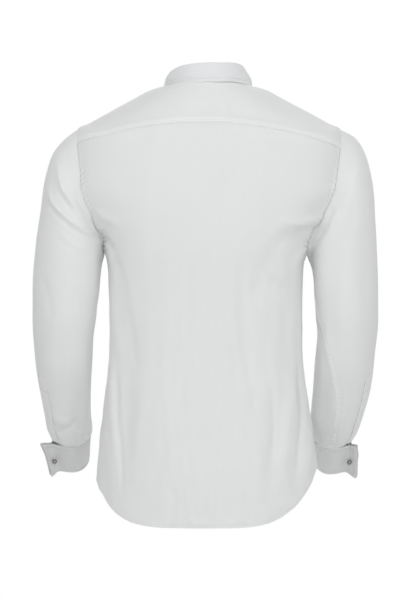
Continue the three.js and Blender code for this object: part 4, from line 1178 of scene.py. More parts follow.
    def sew(self, name: str, lines: Iterable[tuple[Array, Array]], pitch: float = 3.0) -> bpy.types.Object:
        """Makes rows of stitches as one mesh: short thread capsules along the line, sunk into the cloth.

        Args:
            name: the object's name.
            lines: for each row its points and the cloth's normals there, in millimetres.
            pitch: from one stitch to the next.

        Returns:
            The object, tied to the body.
        """
        length, thick, rings, sides = 2.3, 0.24, 5, 6
        along = np.linspace(-1, 1, rings)
        girth = np.sqrt(np.maximum(1 - along**2, 0.04))
        turn = np.arange(sides) * 2 * math.pi / sides
        template = np.stack(
            [
                np.repeat(along * length / 2, sides),
                (girth[:, None] * np.cos(turn)).ravel() * thick * 1.3,
                (girth[:, None] * np.sin(turn)).ravel() * thick,
            ],
            axis=1,
        )
        near_cap, far_cap = [[0, 5, 4, 3], [0, 3, 2, 1]], np.array([[0, 1, 2, 3], [0, 3, 4, 5]])
        far_cap = far_cap + (rings - 1) * sides
        body = np.concatenate([tube_faces(rings, sides)[:, [0, 3, 2, 1]], near_cap, far_cap])
        points, faces, count = [], [], 0
        for path, normals in lines:
            total = np.linalg.norm(np.diff(path, axis=0), axis=1).sum()
            spots = spaced(np.hstack([path, normals]), max(3, int(total / pitch)))
            centre, up = spots[:, :3], unit(spots[:, 3:])
            way = unit(np.gradient(centre, axis=0))
            side = unit(np.cross(up, way))
            up = np.cross(way, side)
            frames = np.stack([way, side, up], axis=1)
            placed = np.einsum("mk,nkj->nmj", template, frames) + (centre + 0.05 * up)[:, None]
            points.append(placed.reshape(-1, 3))
            first = count + np.arange(len(centre)) * len(template)
            faces.append((body[None] + first[:, None, None]).reshape(-1, 4))
            count += placed.shape[0] * placed.shape[1]
        made = self.mesh(name, np.concatenate(points), np.concatenate(faces), self.thread)
        return self.fit(made, (), "cotton")


def flat_size(outer: Array) -> tuple[tuple[float, float], float]:
    """The box that a piece was cut from, by its widest row and longest column, and its area, in metres."""
    across = np.linalg.norm(np.diff(outer, axis=1), axis=2).sum(axis=1)
    down = np.linalg.norm(np.diff(outer, axis=0), axis=2).sum(axis=0)
    one = outer[1:, :-1] - outer[:-1, :-1]
    other = outer[:-1, 1:] - outer[:-1, :-1]
    area = float(np.linalg.norm(np.cross(one, other), axis=2).sum()) * MM**2
    width, length = round(float(across.max()) * MM, 2), round(float(down.max()) * MM, 2)
    return (width, length), min(round(area, 4), width * length)


CLOTH = 0.7


@dataclass
class Panels:
    """The back, the yoke and the two fronts, all laid on the body form."""

    wardrobe: Wardrobe
    body: Body
    armholes: dict[Side, Armhole]
    columns: int = 220
    hem_wide: float = 7.0
    overlap_lift: float = 1.7
    overlap_fade: float = 30.0
    placket_half: float = 17.5

    def __post_init__(self) -> None:
        """Works out the seams' paths."""
        turns = np.linspace(self._corner_turn(Side.LEFT), self._corner_turn(Side.RIGHT), 260)
        self.yoke_path = self.body.point(turns, yoke_back_down(self.body, turns))
        # The yoke seam's tone is a painted highlight band above it, and its shade paints the puckers' shade.
        self.yoke_seam = Seam(self.yoke_path, 10, 0.35, 0, 0.25, 11, 6, soft=4, tone_and_painted_light=0.6, shade=0.12)
        # The armhole seams' tone is partly the layers' whiteness and partly a painted highlight, and their
        # shade paints the puckers' shade and light.
        self.armhole_seams = [
            Seam(self.armholes[side].path(), 10, 0.25, 0, 1.1, 8.8, 8, seed, 3, calm=45, tone_and_painted_light=0.3, shade=0.6)
            for side, seed in ((Side.LEFT, 4), (Side.RIGHT, 7))
        ]
        share = np.linspace(0, 1, 90)
        self.front_seams = {
            side: self.body.point(turn_on(side, yoke_front_turn(share)), share * self.armholes[side].tip_down)
            for side in Side
        }

    def _corner_turn(self, side: Side) -> float:
        """Turn at which the yoke's back seam ends on an armhole."""
        return float(self.armholes[side].place(np.array(self.armholes[side].corner), 0)[0])

    def surface(self, turn: Array, down: Array, seams: Sequence[Seam], lift: Array | float = 0.0) -> Array:
        """The seen face of a panel: the form with its folds, moved out by its seams' relief and a lift."""
        point = self.body.point(turn, down)
        height = sum(seam.height(point) for seam in seams) + lift
        hem = hem_down(self.body, turn) - down
        height = height + 0.35 * (1 - ease(self.hem_wide - 0.6, self.hem_wide + 0.6, hem))
        drawn = bell(hem - 4, 7) * ease(-0.4, 0.6, np.cos(3 * turn))
        wave = 0.5 * np.sin(turn * MEAN_RADIUS / 9 + 3 * np.sin(turn * 5)) * drawn
        return point + self.body.plain_normal(turn, down) * (height + wave)[..., None]

    def shell(
        self,
        name: str,
        node: str,
        outer: Array,
        turn: Array,
        down: Array,
        seams: Sequence[Seam] = (),
        edge: Edge | None = None,
        reach: Array | float = 3.0,
        thick: float = CLOTH,
    ) -> None:
        """Makes a panel's shell.

        Args:
            name: the piece's name.
            node: the solid that it takes the place of.
            outer: its seen face.
            turn: its places round the body, for the weave.
            down: its places down the body, for the weave.
            seams: the seams whose layers and painted highlight and shade change its colour.
            edge: the edge that is turned under its neighbour.
            reach: how far that goes.
            thick: the shell's thickness.
        """
        cloth = np.stack(np.broadcast_arrays(turn * MEAN_RADIUS, down), axis=-1)
        layers_and_painted_light = np.zeros(outer.shape[:2]) + sum(seam.layers_and_painted_light(outer) for seam in seams)
        if edge:
            layers_and_painted_light = np.pad(layers_and_painted_light, edge.value, "edge")
            outer = tucked(outer, grid_normals(outer), edge, reach)
            cloth = np.pad(cloth, (*edge.value, (0, 0)), "edge")
        made = self.wardrobe.shell(name, outer, cloth, thick, turned=edge, layers_and_painted_light=layers_and_painted_light)
        self.wardrobe.sheet(made, node, outer, "stretched")

    def back(self) -> None:
        """The back, from the yoke's seam to the hem.

        Rows go by the armhole's own angle down to the underarm, then evenly to the hem. Columns go from the
        armhole's edge or the side seam to the middle, close together at the sides.
        """
        above, below = np.linspace(0, 1, 127), 1 - (1 - np.linspace(0, 1, 81)[1:]) ** 1.5
        across = np.linspace(0, 1, self.columns)
        on_left = across <= 0.5
        t = np.where(on_left, 2 * across, 2 - 2 * across)
        spread = np.arctan2(1.45 * np.sin((1 - t) * math.pi / 2), np.cos((1 - t) * math.pi / 2))
        rows = np.concatenate([above, 1 + below])[:, None]
        beside = np.minimum(rows, 1)
        edge_turn, edge_down, share = {}, {}, {}
        for side in Side:
            hole = self.armholes[side]
            angle = mix(hole.corner, math.pi, beside)
            turn, edge_down[side] = hole.place(angle, HALF_GAP)
            edge_turn[side] = turn_on(side, turn)
            share[side] = (math.cos(hole.corner) - np.cos(angle)) / (math.cos(hole.corner) + 1)
        edge = np.where(on_left, edge_turn[Side.LEFT], edge_turn[Side.RIGHT])
        half = math.pi - spread * (math.pi - np.maximum(edge, math.pi / 2 + 0.001)) / (math.pi / 2)
        turn = np.where(on_left, half, 2 * math.pi - half)
        blend = mix(share[Side.LEFT], share[Side.RIGHT], ease(0.2, 0.8, across))
        inner = mix(yoke_back_down(self.body, turn) + HALF_GAP, underarm_down(turn), blend)
        outer_down = np.where(on_left, edge_down[Side.LEFT], edge_down[Side.RIGHT])
        at_edge = np.where(on_left, inner[:, :1], inner[:, -1:])
        high = inner + (outer_down - at_edge) * (1 - ease(0, 0.22, t))
        low = mix(underarm_down(turn), hem_down(self.body, turn), np.maximum(rows - 1, 0))
        down = np.where(rows <= 1, high, low)
        # Below the yoke the back's colour is darkened: a painted shade line under the seam.
        under_yoke = Seam(self.yoke_path, 4, 0.25, 0, 0.2, step=11, reach=9, soft=4, tone_and_painted_light=-0.1, shade=0.1)
        seams = [*self.armhole_seams, under_yoke]
        self.shell("back_cloth", "back", self.surface(turn, down, seams), turn, down, seams, Edge.TOP)

    def yoke(self) -> None:
        """The yoke: rows from neck to edge, columns from one front seam over the back to the other."""
        rows = np.linspace(0, 1, 56)[:, None]
        across = np.linspace(0, 2, 231)
        on_left = across <= 1
        s = np.where(on_left, across, 2 - across)
        over = 0.4  # share of a side's columns that lie over the shoulder
        outer, edge, tips = {}, {}, {}
        for side in Side:
            hole = self.armholes[side]
            angle = mix(hole.tip, hole.corner, np.minimum(s / over, 1))
            turn, down = hole.place(angle, HALF_GAP)
            past = np.maximum(0, (s - over) / (1 - over))
            behind = mix(turn_on(side, self._corner_turn(side)), math.pi, past)
            seam = yoke_back_down(self.body, turn_on(side, behind)) - HALF_GAP
            outer[side] = np.where(s <= over, turn_on(side, turn), behind)
            edge[side] = np.where(s <= over, down, seam)
            tips[side] = float(turn_on(side, hole.place(np.array(hole.tip), 0)[0]))
        out = np.where(on_left, outer[Side.LEFT], outer[Side.RIGHT])
        down = rows * np.where(on_left, edge[Side.LEFT], edge[Side.RIGHT])
        tip = np.where(on_left, tips[Side.LEFT], tips[Side.RIGHT])
        share = np.clip((out - tip) / (math.pi - tip), 0, 1)
        start = yoke_front_turn(rows) + HALF_GAP / front_seam_radius(rows)
        half = mix(start, math.pi, share)
        turn = np.where(on_left, half, 2 * math.pi - half)
        fronts = [Seam(path, 6, 0.3, 0.15, 0.15, step=10, reach=5) for path in self.front_seams.values()]
        seams = [*self.armhole_seams, self.yoke_seam, *fronts]
        self.shell("yoke_cloth", "yoke", self.surface(turn, down, seams), turn, down, seams)

    def lift(self, side: Side, turn: Array, down: Array) -> Array:
        """How far a front lies off the form where the fronts overlap: the left one out, the right one in."""
        into = side.value * (self.body.plain(turn, down)[..., 0] - BODY_RINGS.read("shift", down))
        fade = 1 - ease(self.placket_half + 7, self.placket_half + self.overlap_fade, into)
        return side.value * self.overlap_lift * fade

    def front_turn(self, x: Array | float, down: Array) -> Array:
        """Turn, on the left side, at a sideways distance before the centre front."""
        return np.arctan2(x, BODY_RINGS.read("front", down))

    def front_rows(self, side: Side) -> tuple[Array, Array, Array, Array]:
        """A front's rows.

        Returns:
            The share down the yoke's seam, the share down from the underarm to the hem, the length below
            the neck seam, held at the hem's ring below the underarm, and the angle down the armhole.
        """
        upper, beside, below = 40, 60, 80
        hole = self.armholes[side]
        first = np.concatenate([np.linspace(0, 1, upper), np.ones(beside + below)])
        angle = np.concatenate([np.full(upper, hole.tip), np.linspace(hole.tip, -math.pi, beside + 1)[1:]])
        angle = np.concatenate([angle, np.full(below, -math.pi)])
        last = np.concatenate([np.zeros(upper + beside), np.linspace(0, 1, below + 1)[1:]])
        level = np.where(first < 1, first * hole.tip_down, hole.middle - hole.half * np.cos(angle))
        level = np.where(last > 0, HEM_RING, level)
        return first[:, None], last[:, None], level[:, None], angle[:, None]

    def front(self, side: Side) -> None:
        """One front, from the neck and the yoke's front seam to the hem."""
        hole = self.armholes[side]
        first, last, level, angle = self.front_rows(side)
        share = np.linspace(0, 1, 76) ** 0.82
        oval = turn_on(side, hole.place(angle, HALF_GAP)[0])
        edge = np.where(first < 1, yoke_front_turn(first) - HALF_GAP / front_seam_radius(first), oval)
        edge = np.minimum(edge, math.pi / 2 - 0.001)
        half = mix(self.front_turn(-self.placket_half, level), edge, share)
        turn = turn_on(side, half)
        down = np.where(last > 0, mix(hole.bottom, hem_down(self.body, turn), last), level)
        if side is Side.RIGHT:
            turn, down = turn[:, ::-1], down[:, ::-1]
        seams = [*self.armhole_seams, Seam(self.front_seams[side], 1, -0.1, 0.1, 0.12, step=10, reach=7)]
        outer = self.surface(turn, down, seams, self.lift(side, turn, down))
        edge = Edge.LAST if side is Side.LEFT else Edge.FIRST
        sewn = np.where((first < 1) | (last > 0), 3.0, 0.0)[:, 0]
        self.shell(f"front_{side.word}_cloth", f"front_{side.word}", outer, turn, down, seams, edge, sewn)

    def stitches(self) -> None:
        """Rows of stitches: beside the armholes and the yoke's seams, and round the hem."""
        lines = []
        for side in Side:
            angle = np.linspace(0, 2 * math.pi, 300)
            turn, down = self.armholes[side].place(angle, 8.3)
            lines.append(self.row(turn, down, self.armhole_seams))
            share = np.linspace(0.03, 0.93, 60)
            for off in (1.8, 5.0):
                turn = yoke_front_turn(share) + off / front_seam_radius(share)
                lines.append(self.row(turn_on(side, turn), share * self.armholes[side].tip_down, []))
        turn = np.linspace(self._corner_turn(Side.LEFT) + 0.05, self._corner_turn(Side.RIGHT) - 0.05, 200)
        for off in (1.8, 5.2):
            lines.append(self.row(turn, yoke_back_down(self.body, turn) - off, [self.yoke_seam]))
        quarter = math.pi / 2
        spans = ((quarter + 0.02, 3 * quarter - 0.02, 300), (0.15, quarter - 0.02, 300))
        for start, end, count in (*spans, (3 * quarter + 0.02, 4 * quarter + 0.15, 200)):
            turn = np.linspace(start, end, count)
            lines.append(self.row(turn, hem_down(self.body, turn) - self.hem_wide + 1.2, []))
        self.wardrobe.sew("panel_stitches", lines)

    def row(
        self, turn: Array, down: Array, seams: Sequence[Seam], lift: Array | float = 0.0
    ) -> tuple[Array, Array]:
        """Points and normals of a row of stitches on the panels."""
        return self.surface(turn, down, seams, lift), self.body.plain_normal(turn, down)

    def band(self) -> None:
        """The band down the left front, with its two rows of stitches, laid on the front."""
        _, last, level, _ = self.front_rows(Side.LEFT)
        x = np.linspace(-self.placket_half, self.placket_half, 26)
        turn = self.front_turn(x, level)
        underarm = self.armholes[Side.LEFT].bottom
        down = np.where(last > 0, mix(underarm, hem_down(self.body, turn), last), level + 0 * turn)
        down = np.maximum(down, 1.5)
        inset = self.placket_half - np.abs(x)
        edge = 0.25 * bell(inset - 5.5, 2.4) - 0.25 * bell(inset - 6.8, 0.8)
        ripple = 0.12 * np.sin(down / 7 + 2 * np.sin(down / 41)) * bell(inset - 6, 4)
        lift = self.overlap_lift + 2.0 + edge + ripple
        outer = self.surface(turn, down, [], lift)
        self.shell("front_band_cloth", "front_band", outer, turn, down, thick=1.9)
        lines = []
        for x in (-self.placket_half + 6.4, self.placket_half - 6.4):
            down = np.linspace(6, float(hem_down(self.body, np.array([0.0]))[0]) - 4, 300)
            lines.append(self.row(self.front_turn(x, down), down, [], self.overlap_lift + 2.0))
        self.wardrobe.sew("band_stitches", lines)


@dataclass
class Sleeve:
    """One sleeve with its placket band, its felled seam and their stitches."""

    wardrobe: Wardrobe
    arm: Arm
    vent_turn: float
    vent_length: float = 132
    vent_half: float = 12
    vent_end: float = 11
    band_off: float = 0.1
    cuff_room: float = 1.3

    def __post_init__(self) -> None:
        """Lays the armhole's seam and the felled seam."""
        path = self.arm.armhole.path()
        # The cap seam's tone darkens the sleeve beside the armhole seam: painted shade.
        self.cap_seam = Seam(path, 2.2, 0, 0, 0.3, step=8.8, reach=8, seed=5, calm=45, tone_and_painted_light=-0.15)
        self.seam_along = np.linspace(12, SLEEVE_END - 12, 300)
        self.seam_angle = FELLED_SEAM[self.arm.side].read("angle", self.seam_along)

    def felled(self, angle: Array, along: Array) -> tuple[Array, Array]:
        """Distances from the felled seam, and its puckers' waves from -1 to 1."""
        centre = np.interp(along, self.seam_along, self.seam_angle)
        away = np.mod(angle - centre + math.pi, 2 * math.pi) - math.pi
        waves = np.sin(2 * math.pi * along / 9.5 + 2.5 * np.sin(along / 23))
        return np.abs(away * self.arm.rings.read("deep", along)), waves

    def surface(self, angle: Array, along: Array) -> Array:
        """The seen face: the form with its folds, the armhole's puckers, the felled seam's flat ridge."""
        point = self.arm.point(angle, along)
        off, drawn = self.felled(angle, along)
        ridge = 0.75 * (1 - ease(2.8, 4.2, off)) - 0.3 * bell(off - 4.2, 0.9)
        drawn = 0.4 * drawn * bell(off, 7)
        height = self.cap_seam.height(point)
        height = height + (ridge + drawn) * ease(6, 20, along) * ease(4, 16, SLEEVE_END - along)
        height = height + self.cuff_room * ease(SLEEVE_END - 9, SLEEVE_END - 4, along)
        return point + self.arm.plain_normal(angle, along) * height[..., None]

    def layers_and_painted_light(self, angle: Array, along: Array, point: Array) -> Array:
        """How much lighter or darker the colour is: the felled seam's layers with the puckers' painted shade
        and light, a painted shade line beside it, and the armhole's seam.
        """
        off, drawn = self.felled(angle, along)
        # The waves paint the puckers' shade and light, and the bell 7 mm off paints a shade line beside the
        # seam.
        felled = (0.35 + 0.3 * drawn) * bell(off, 5) - 0.25 * bell(off - 7, 2)
        return self.cap_seam.layers_and_painted_light(point) + felled * ease(20, 60, along)

    def build(self) -> None:
        """Makes the sleeve's shell, its band and the stitches."""
        side = self.arm.side
        runs = ((0, 260, 145), (260, 520, 60), (520, SLEEVE_END, 26))
        along = np.concatenate([[0.0], *[np.linspace(low, high, count + 1)[1:] for low, high, count in runs]])
        angle = np.concatenate([np.linspace(0, math.pi, 111), np.linspace(math.pi, 2 * math.pi, 42)[1:-1]])
        angle, along = np.broadcast_arrays(angle[None, :], along[:, None])
        outer = self.surface(angle, along)
        cloth = np.stack([angle * 60, along], axis=-1)
        normals = grid_normals(outer, around=True) * side.value
        outer = tucked(outer, normals, Edge.TOP, 3.0)
        cloth = np.pad(cloth, (*Edge.TOP.value, (0, 0)), "edge")
        made = self.wardrobe.shell(
            f"sleeve_{side.word}_cloth",
            outer,
            cloth,
            CLOTH,
            around=True,
            mirrored=side is Side.RIGHT,
            turned=Edge.TOP,
            layers_and_painted_light=np.pad(self.layers_and_painted_light(angle, along, outer[2:]), Edge.TOP.value, "edge"),
        )
        all_round = np.concatenate([outer, outer[:, :1]], axis=1)
        self.wardrobe.sheet(made, f"sleeve_{side.word}", all_round, "stretched")
        self.band()
        lines = []
        for off in (-2.0, 2.0):
            shift = off / self.arm.rings.read("deep", self.seam_along)
            lines.append(self.row(self.seam_angle + shift, self.seam_along))
        self.wardrobe.sew(f"sleeve_{side.word}_stitches", lines)

    def row(self, angle: Array, along: Array, lift: float = 0.0) -> tuple[Array, Array]:
        """Points and normals of a row of stitches on the sleeve."""
        normal = self.arm.plain_normal(angle, along)
        return self.surface(angle, along) + lift * normal, normal

    def band(self) -> None:
        """The pointed placket band over the vent, its stitched box and its edges."""
        side = self.arm.side
        start = SLEEVE_END - self.vent_end - self.vent_length
        run = np.linspace(0, self.vent_length, 110)[:, None]
        across = np.linspace(-1, 1, 22)[None, :]
        width = self.vent_half * np.clip(0.06 + run / 13, 0, 1)
        radius = self.arm.rings.read("deep", start + run)
        angle = self.vent_turn + across * width / radius
        along = start + run + 0 * across
        point = self.surface(angle, along)
        edge = (1 - np.abs(across)) * width
        relief = 0.3 * bell(edge - 1.5, 1.6) - 0.35 * bell(run - 30, 1.0)
        relief = relief + 0.25 * bell(run - 16, 7) * bell(across, 0.6)
        slit = bell(across * width, 1.1) * ease(62, 66, run) * ease(-86, -82, -run)
        # Painted shade: darker in the box's cross groove, along the band's edges and most of all in the open
        # slit.
        layers_and_painted_light = 0.35 - 0.5 * bell(run - 30, 1.6) - 0.3 * bell(edge, 1.2) - 1.0 * slit
        lift = self.band_off + 1.2 + relief - 0.4 * slit
        outer = point + self.arm.plain_normal(angle, along) * lift[..., None]
        cloth = np.stack([across * width + 0 * run, along], axis=-1)
        made = self.wardrobe.shell(
            f"sleeve_band_{side.word}_cloth", outer, cloth, 1.1, mirrored=side is Side.RIGHT, layers_and_painted_light=layers_and_painted_light
        )
        self.wardrobe.sheet(made, f"sleeve_band_{side.word}", outer, "stretched")
        rise = self.band_off + 1.25
        lines = []
        line = np.linspace(12, self.vent_length - 2, 80)
        for edge_side in (-1, 1):
            at = start + line
            angle = self.vent_turn + edge_side * (self.vent_half - 1.6) / self.arm.rings.read("deep", at)
            lines.append(self.row(angle, at, rise))
        cross = np.linspace(-0.85, 0.85, 12)
        for low, high in ((14, 30), (30, 14), (30, 30), (14, 14)):
            at = start + mix(low, high, (cross + 0.85) / 1.7)
            angle = self.vent_turn + cross * self.vent_half / self.arm.rings.read("deep", at)
            lines.append(self.row(angle, at, rise))
        self.wardrobe.sew(f"sleeve_band_{side.word}_stitches", lines, pitch=2.6)


FIN_ENDS = {Side.LEFT: (4.5, 5.5, -1), Side.RIGHT: (-6, -3, 7)}


@dataclass
class Cuff:
    """A double cuff with its link: one band folded at its lower edge, its ends pressed together as a fin."""

    wardrobe: Wardrobe
    arm: Arm
    fin_turn: float
    rise: float = 4
    start: float = 1
    deep: float = 60
    taper: float = 0.14
    layer: float = 1.3
    slot: float = 0.5
    ease_room: float = 2.8
    plan: tuple[float, float] = (31.5, 34)
    fin_reach: float = 25
    fin_half_gap: float = 4
    fin_flare: float = 0.2
    inner_short: float = 0.08
    link_from_edge: float = 11
    link_down: float = 30
    link_ball: float = 4.3
    link_post: float = 1.2

    def __post_init__(self) -> None:
        """Finds the cuff's centre and ways: down the arm, outwards and backwards."""
        end = np.array(float(SLEEVE_END))
        self.centre = (self.arm.ring(np.array(0.0), end) + self.arm.ring(np.array(math.pi), end)) / 2
        tilt = float(self.arm.rings.read("tilt", SLEEVE_END)) * DEGREE
        self.down = np.array([0, -math.sin(tilt), -math.cos(tilt)])
        self.out = np.array([self.arm.side.value, 0, 0])
        self.back = np.array([0, math.cos(tilt), -math.sin(tilt)])
        self.tip = float(self.radius(np.array(0.0))) + self.fin_reach

    def radius(self, angle: Array) -> Array:
        """The plan's ellipse by the angle from the fin."""
        a, b = (half + self.ease_room for half in self.plan)
        return 1 / np.hypot(np.cos(angle + self.fin_turn) / a, np.sin(angle + self.fin_turn) / b)

    def path(self, count: int) -> tuple[Array, Array]:
        """The plan: along one half of the fin, round the wrist and out along the other half.

        Args:
            count: how many points.

        Returns:
            Even points in plan and their outward normals.
        """
        fin = [(self.tip - share * self.fin_reach, self.fin_half_gap) for share in (0, 0.35, 0.7)]
        turns = np.array([38, 60, 85, 110, 135, 160]) * DEGREE
        upper = np.column_stack([np.cos(turns), np.sin(turns)]) * self.radius(turns)[:, None]
        lower = np.column_stack([np.cos(turns), -np.sin(turns)]) * self.radius(-turns)[:, None]
        end = [(-float(self.radius(np.array(math.pi))), 0.0)]
        mirrored = [(x, -y) for x, y in reversed(fin)]
        points = smooth_path(np.vstack([fin, upper, end, lower[::-1], mirrored]), count)
        way = unit(np.gradient(points, axis=0))
        return points, np.column_stack([way[:, 1], -way[:, 0]])

    def place(self, x: Array, y: Array, along: Array) -> Array:
        """Points in space of places in plan and down the cuff, which narrows towards its lower edge."""
        cos, sin = math.cos(self.fin_turn), math.sin(self.fin_turn)
        size = 1 - self.taper * along / self.deep
        lx, ly = size * (x * cos - y * sin), size * (x * sin + y * cos)
        parts = ((along, self.down), (lx, self.out), (ly, self.back))
        return self.centre + sum(np.asarray(a)[..., None] * way for a, way in parts)

    def flared(self, x: Array, e: Array) -> tuple[Array, Array]:
        """Places out and down the cuff: the fin's edge longer, its corners shifted, the inner side short.

        Args:
            x: places out from the wrist's middle, in plan.
            e: places down the plain cuff.

        Returns:
            The places moved.
        """
        in_fin = ease(self.tip - self.fin_reach, self.tip, x)
        upper = in_fin * (1 - ease(0, 26, e + self.rise))
        lower = in_fin * ease(20, self.deep, e)
        upper_out, upper_up, lower_out = FIN_ENDS[self.arm.side]
        down = e + self.fin_flare * in_fin * (e - self.deep * 0.45) - upper_up * upper
        down = down - self.inner_short * ease(-10, 34, -x) * np.maximum(e, 0)
        return x + upper_out * upper + lower_out * lower, down

    def section(self) -> Array:
        """The folded band's section, as places down the cuff and off its seen face.

        It goes down the seen layer, over the fold's half circle and up the inner layer, then the same way back
        between the two layers, with as many points.
        """
        far, lip = 2 * self.layer + self.slot, self.deep - 2.5
        bend, turn = self.deep - far / 2, np.linspace(90, -90, 9) * DEGREE
        seen, inner = np.linspace(-self.rise, bend, 28)[:-1], np.linspace(bend, self.start, 16)[1:]
        outside = [seen, bend + far / 2 * np.cos(turn), inner]
        outside_off = [0 * seen, -far / 2 + far / 2 * np.sin(turn), 0 * inner - far]
        seen, inner = np.linspace(-self.rise, lip, 28)[:-1], np.linspace(lip, self.start, 16)[1:]
        between = [seen, lip + self.slot / 2 * np.cos(turn), inner]
        in_slot = -far / 2 + self.slot / 2 * np.sin(turn)
        between_off = [0 * seen - self.layer, in_slot, 0 * inner - far + self.layer]
        outside = np.column_stack([np.concatenate(outside), np.concatenate(outside_off)])
        between = np.column_stack([np.concatenate(between), np.concatenate(between_off)])
        return np.concatenate([outside, between[::-1]])

    def build(self) -> None:
        """Makes the cuff's closed band, its stitches and its link."""
        side = self.arm.side
        count = 150
        points, normals = self.path(count)
        section = self.section()
        rows = len(section)
        e, off = section[:, 0][:, None], section[:, 1][:, None]
        x, y = points[:, 0][None], points[:, 1][None]
        length = np.linalg.norm(np.diff(points, axis=0), axis=1).sum()
        along = np.linspace(0, length, count)[None]
        end = np.minimum(along, length - along)
        seen = bell(off, 0.6)
        relief = sum(
            high * bell(edge - 2.5, 2.2) - 0.2 * bell(edge - 6.3, 0.8)
            for high, edge in ((0.28, e + self.rise), (0.28, self.deep - e), (0.25, end))
        )
        soft = Ripple(height=0.35, longest=60, shortest=22, seed=31 + side.value).rise(along, e)
        edge_drawn = 0.22 * np.sin(along / 1.6 + np.sin(along / 9)) * bell(e + self.rise - 5, 5)
        out = off + seen * (relief + edge_drawn) + soft
        flared, lowered = self.flared(x, e)
        lowered = lowered + 0.8 * np.sin(along / 17 + side.value) * ease(0, 30, e)
        nx, ny = normals[:, 0][None], normals[:, 1][None]
        grid = self.place(flared + nx * out, y + ny * out, lowered)
        index = np.arange(rows * count).reshape(rows, count)
        ring = np.concatenate([index, index[:1]])
        faces = np.stack([ring[:-1, :-1], ring[1:, :-1], ring[1:, 1:], ring[:-1, 1:]], axis=-1).reshape(-1, 4)
        strips = np.arange(len(faces)) // (count - 1)
        caps = [self.cap(index[:, 0], False), self.cap(index[:, -1], True)]
        long_strips = (strips != rows - 1) & (strips != rows // 2 - 1)
        smooth = np.concatenate([long_strips, np.zeros(sum(map(len, caps)), bool)])
        faces = np.concatenate([faces, *caps])
        if side is Side.RIGHT:
            faces = faces[:, ::-1]
        name = f"cuff_{side.word}_cloth"
        # The cuff takes the darker copy of the cotton, which is painted shade.
        made = self.wardrobe.mesh(name, grid.reshape(-1, 3), faces, self.wardrobe.doubled, smooth)
        down = np.cumsum(np.abs(np.gradient(e, axis=0)), axis=0)
        cloth = np.stack([along + 0 * e, down + 0 * along], axis=-1)
        self.wardrobe.lay_flat(made, cloth.reshape(-1, 2))
        self.wardrobe.fit(made, (f"cuff_{side.word}",), "cotton")
        round((2 * self.deep + self.rise) * MM, 3)
        self.stitches(points, normals)
        self.link()

    def cap(self, edge: Array, far: bool) -> Array:
        """Faces that close an end of the band: a strip between the outside and the inside of its layers."""
        half = len(edge) // 2
        first, second = edge[:half], edge[::-1][:half]
        quads = np.stack([first[:-1], first[1:], second[1:], second[:-1]], axis=1)
        return quads if far else quads[:, ::-1]

    def stitches(self, points: Array, normals: Array) -> None:
        """Rows of stitches 6 mm inside the cuff's edges."""
        lines = []
        half = slice(4, len(points) - 4)
        for e in (-self.rise + 6, self.deep - 6):
            flared, along = self.flared(points[:, 0], np.full(len(points), float(e)))
            off = 0.25 * normals
            centre = self.place(flared + off[:, 0], points[:, 1] + off[:, 1], along)
            lines.append((centre[half], self.direction(normals)[half]))
        for end in (3, len(points) - 4):
            e = np.linspace(-self.rise + 6, self.deep - 6, 40)
            flared, along = self.flared(np.full(40, points[end, 0]), e)
            x, y = 0.25 * normals[end]
            centre = self.place(flared + x, np.full(40, points[end, 1]) + y, along)
            lines.append((centre, np.repeat(self.direction(normals[end : end + 1]), 40, axis=0)))
        self.wardrobe.sew(f"cuff_{self.arm.side.word}_stitches", lines, pitch=2.8)

    def direction(self, flat: Array) -> Array:
        """Ways in space of ways in plan."""
        cos, sin = math.cos(self.fin_turn), math.sin(self.fin_turn)
        lx, ly = flat[:, 0] * cos - flat[:, 1] * sin, flat[:, 0] * sin + flat[:, 1] * cos
        return lx[:, None] * self.out + ly[:, None] * self.back

    def link(self) -> None:
        """The cufflink: a ball on the seen side, a post through the fin and a smaller button behind it."""
        side = self.arm.side
        fin = self.fin_half_gap + 0.3
        ball = self.link_ball
        turn = np.linspace(-0.3, 0.5, 18) * math.pi
        head = [(ball * math.cos(a), fin + 0.87 * ball + ball * math.sin(a)) for a in turn]
        button = ((0.01, 5.4), (1.6, 5.2), (2.6, 4.5), (3.2, 3), (3, 1.4), (2.2, 0.5))
        back = [(radius, -fin - off) for radius, off in button]
        post = [(self.link_post, -fin), (self.link_post, fin), (1.7, fin + 0.1)]
        profile = np.array(back + post + head)
        profile[-1, 0] = 0.01
        rows, columns = 70, 40
        points = spaced(profile, rows)
        angle = np.linspace(0, 2 * math.pi, columns, endpoint=False)
        fin_way = math.cos(self.fin_turn) * self.out + math.sin(self.fin_turn) * self.back
        square = math.cos(self.fin_turn) * self.back - math.sin(self.fin_turn) * self.out
        third = np.cross(fin_way, square)
        out = np.array(self.tip - self.link_from_edge)
        centre = self.place(out, np.array(0.0), np.array(float(self.link_down)))
        ring = np.cos(angle)[:, None] * fin_way + np.sin(angle)[:, None] * third
        grid = centre + points[:, 0][:, None, None] * ring + points[:, 1][:, None, None] * square
        faces = tube_faces(rows, columns)
        made = self.wardrobe.mesh(f"link_{side.word}", grid.reshape(-1, 3), faces, self.wardrobe.polished)
        self.wardrobe.fit(made, (f"cufflink_{side.word}",), "link")


STAND_ROWS = Profile(
    "height lean",
    [
        (0, 27, 0.1),
        (90, 18, 0.1),
        (140, 23.5, 0.06),
        (195, 25, 0.02),
        (230, 28.5, 0.04),
        (242, 28, 0.06),
        (256, 24, 0.08),
        (270, 19.5, 0.1),
        (360, 27, 0.1),
    ],
)
LEAF_ROWS = Profile(
    "fold turn reach more lift",
    [
        (0, 3.5, 27, 112, 0, 6.5),
        (0.16, 26, 42, 103, 0, 6.5),
        (0.34, 54, 64, 88, 0, 2.6),
        (0.52, 82, 86, 77.5, 1, -0.3),
        (0.68, 110, 111, 72, 6, -0.6),
        (0.84, 145, 146, 66.5, 2, -0.6),
        (1, 180, 180, 63.6, 0, -0.6),
    ],
)


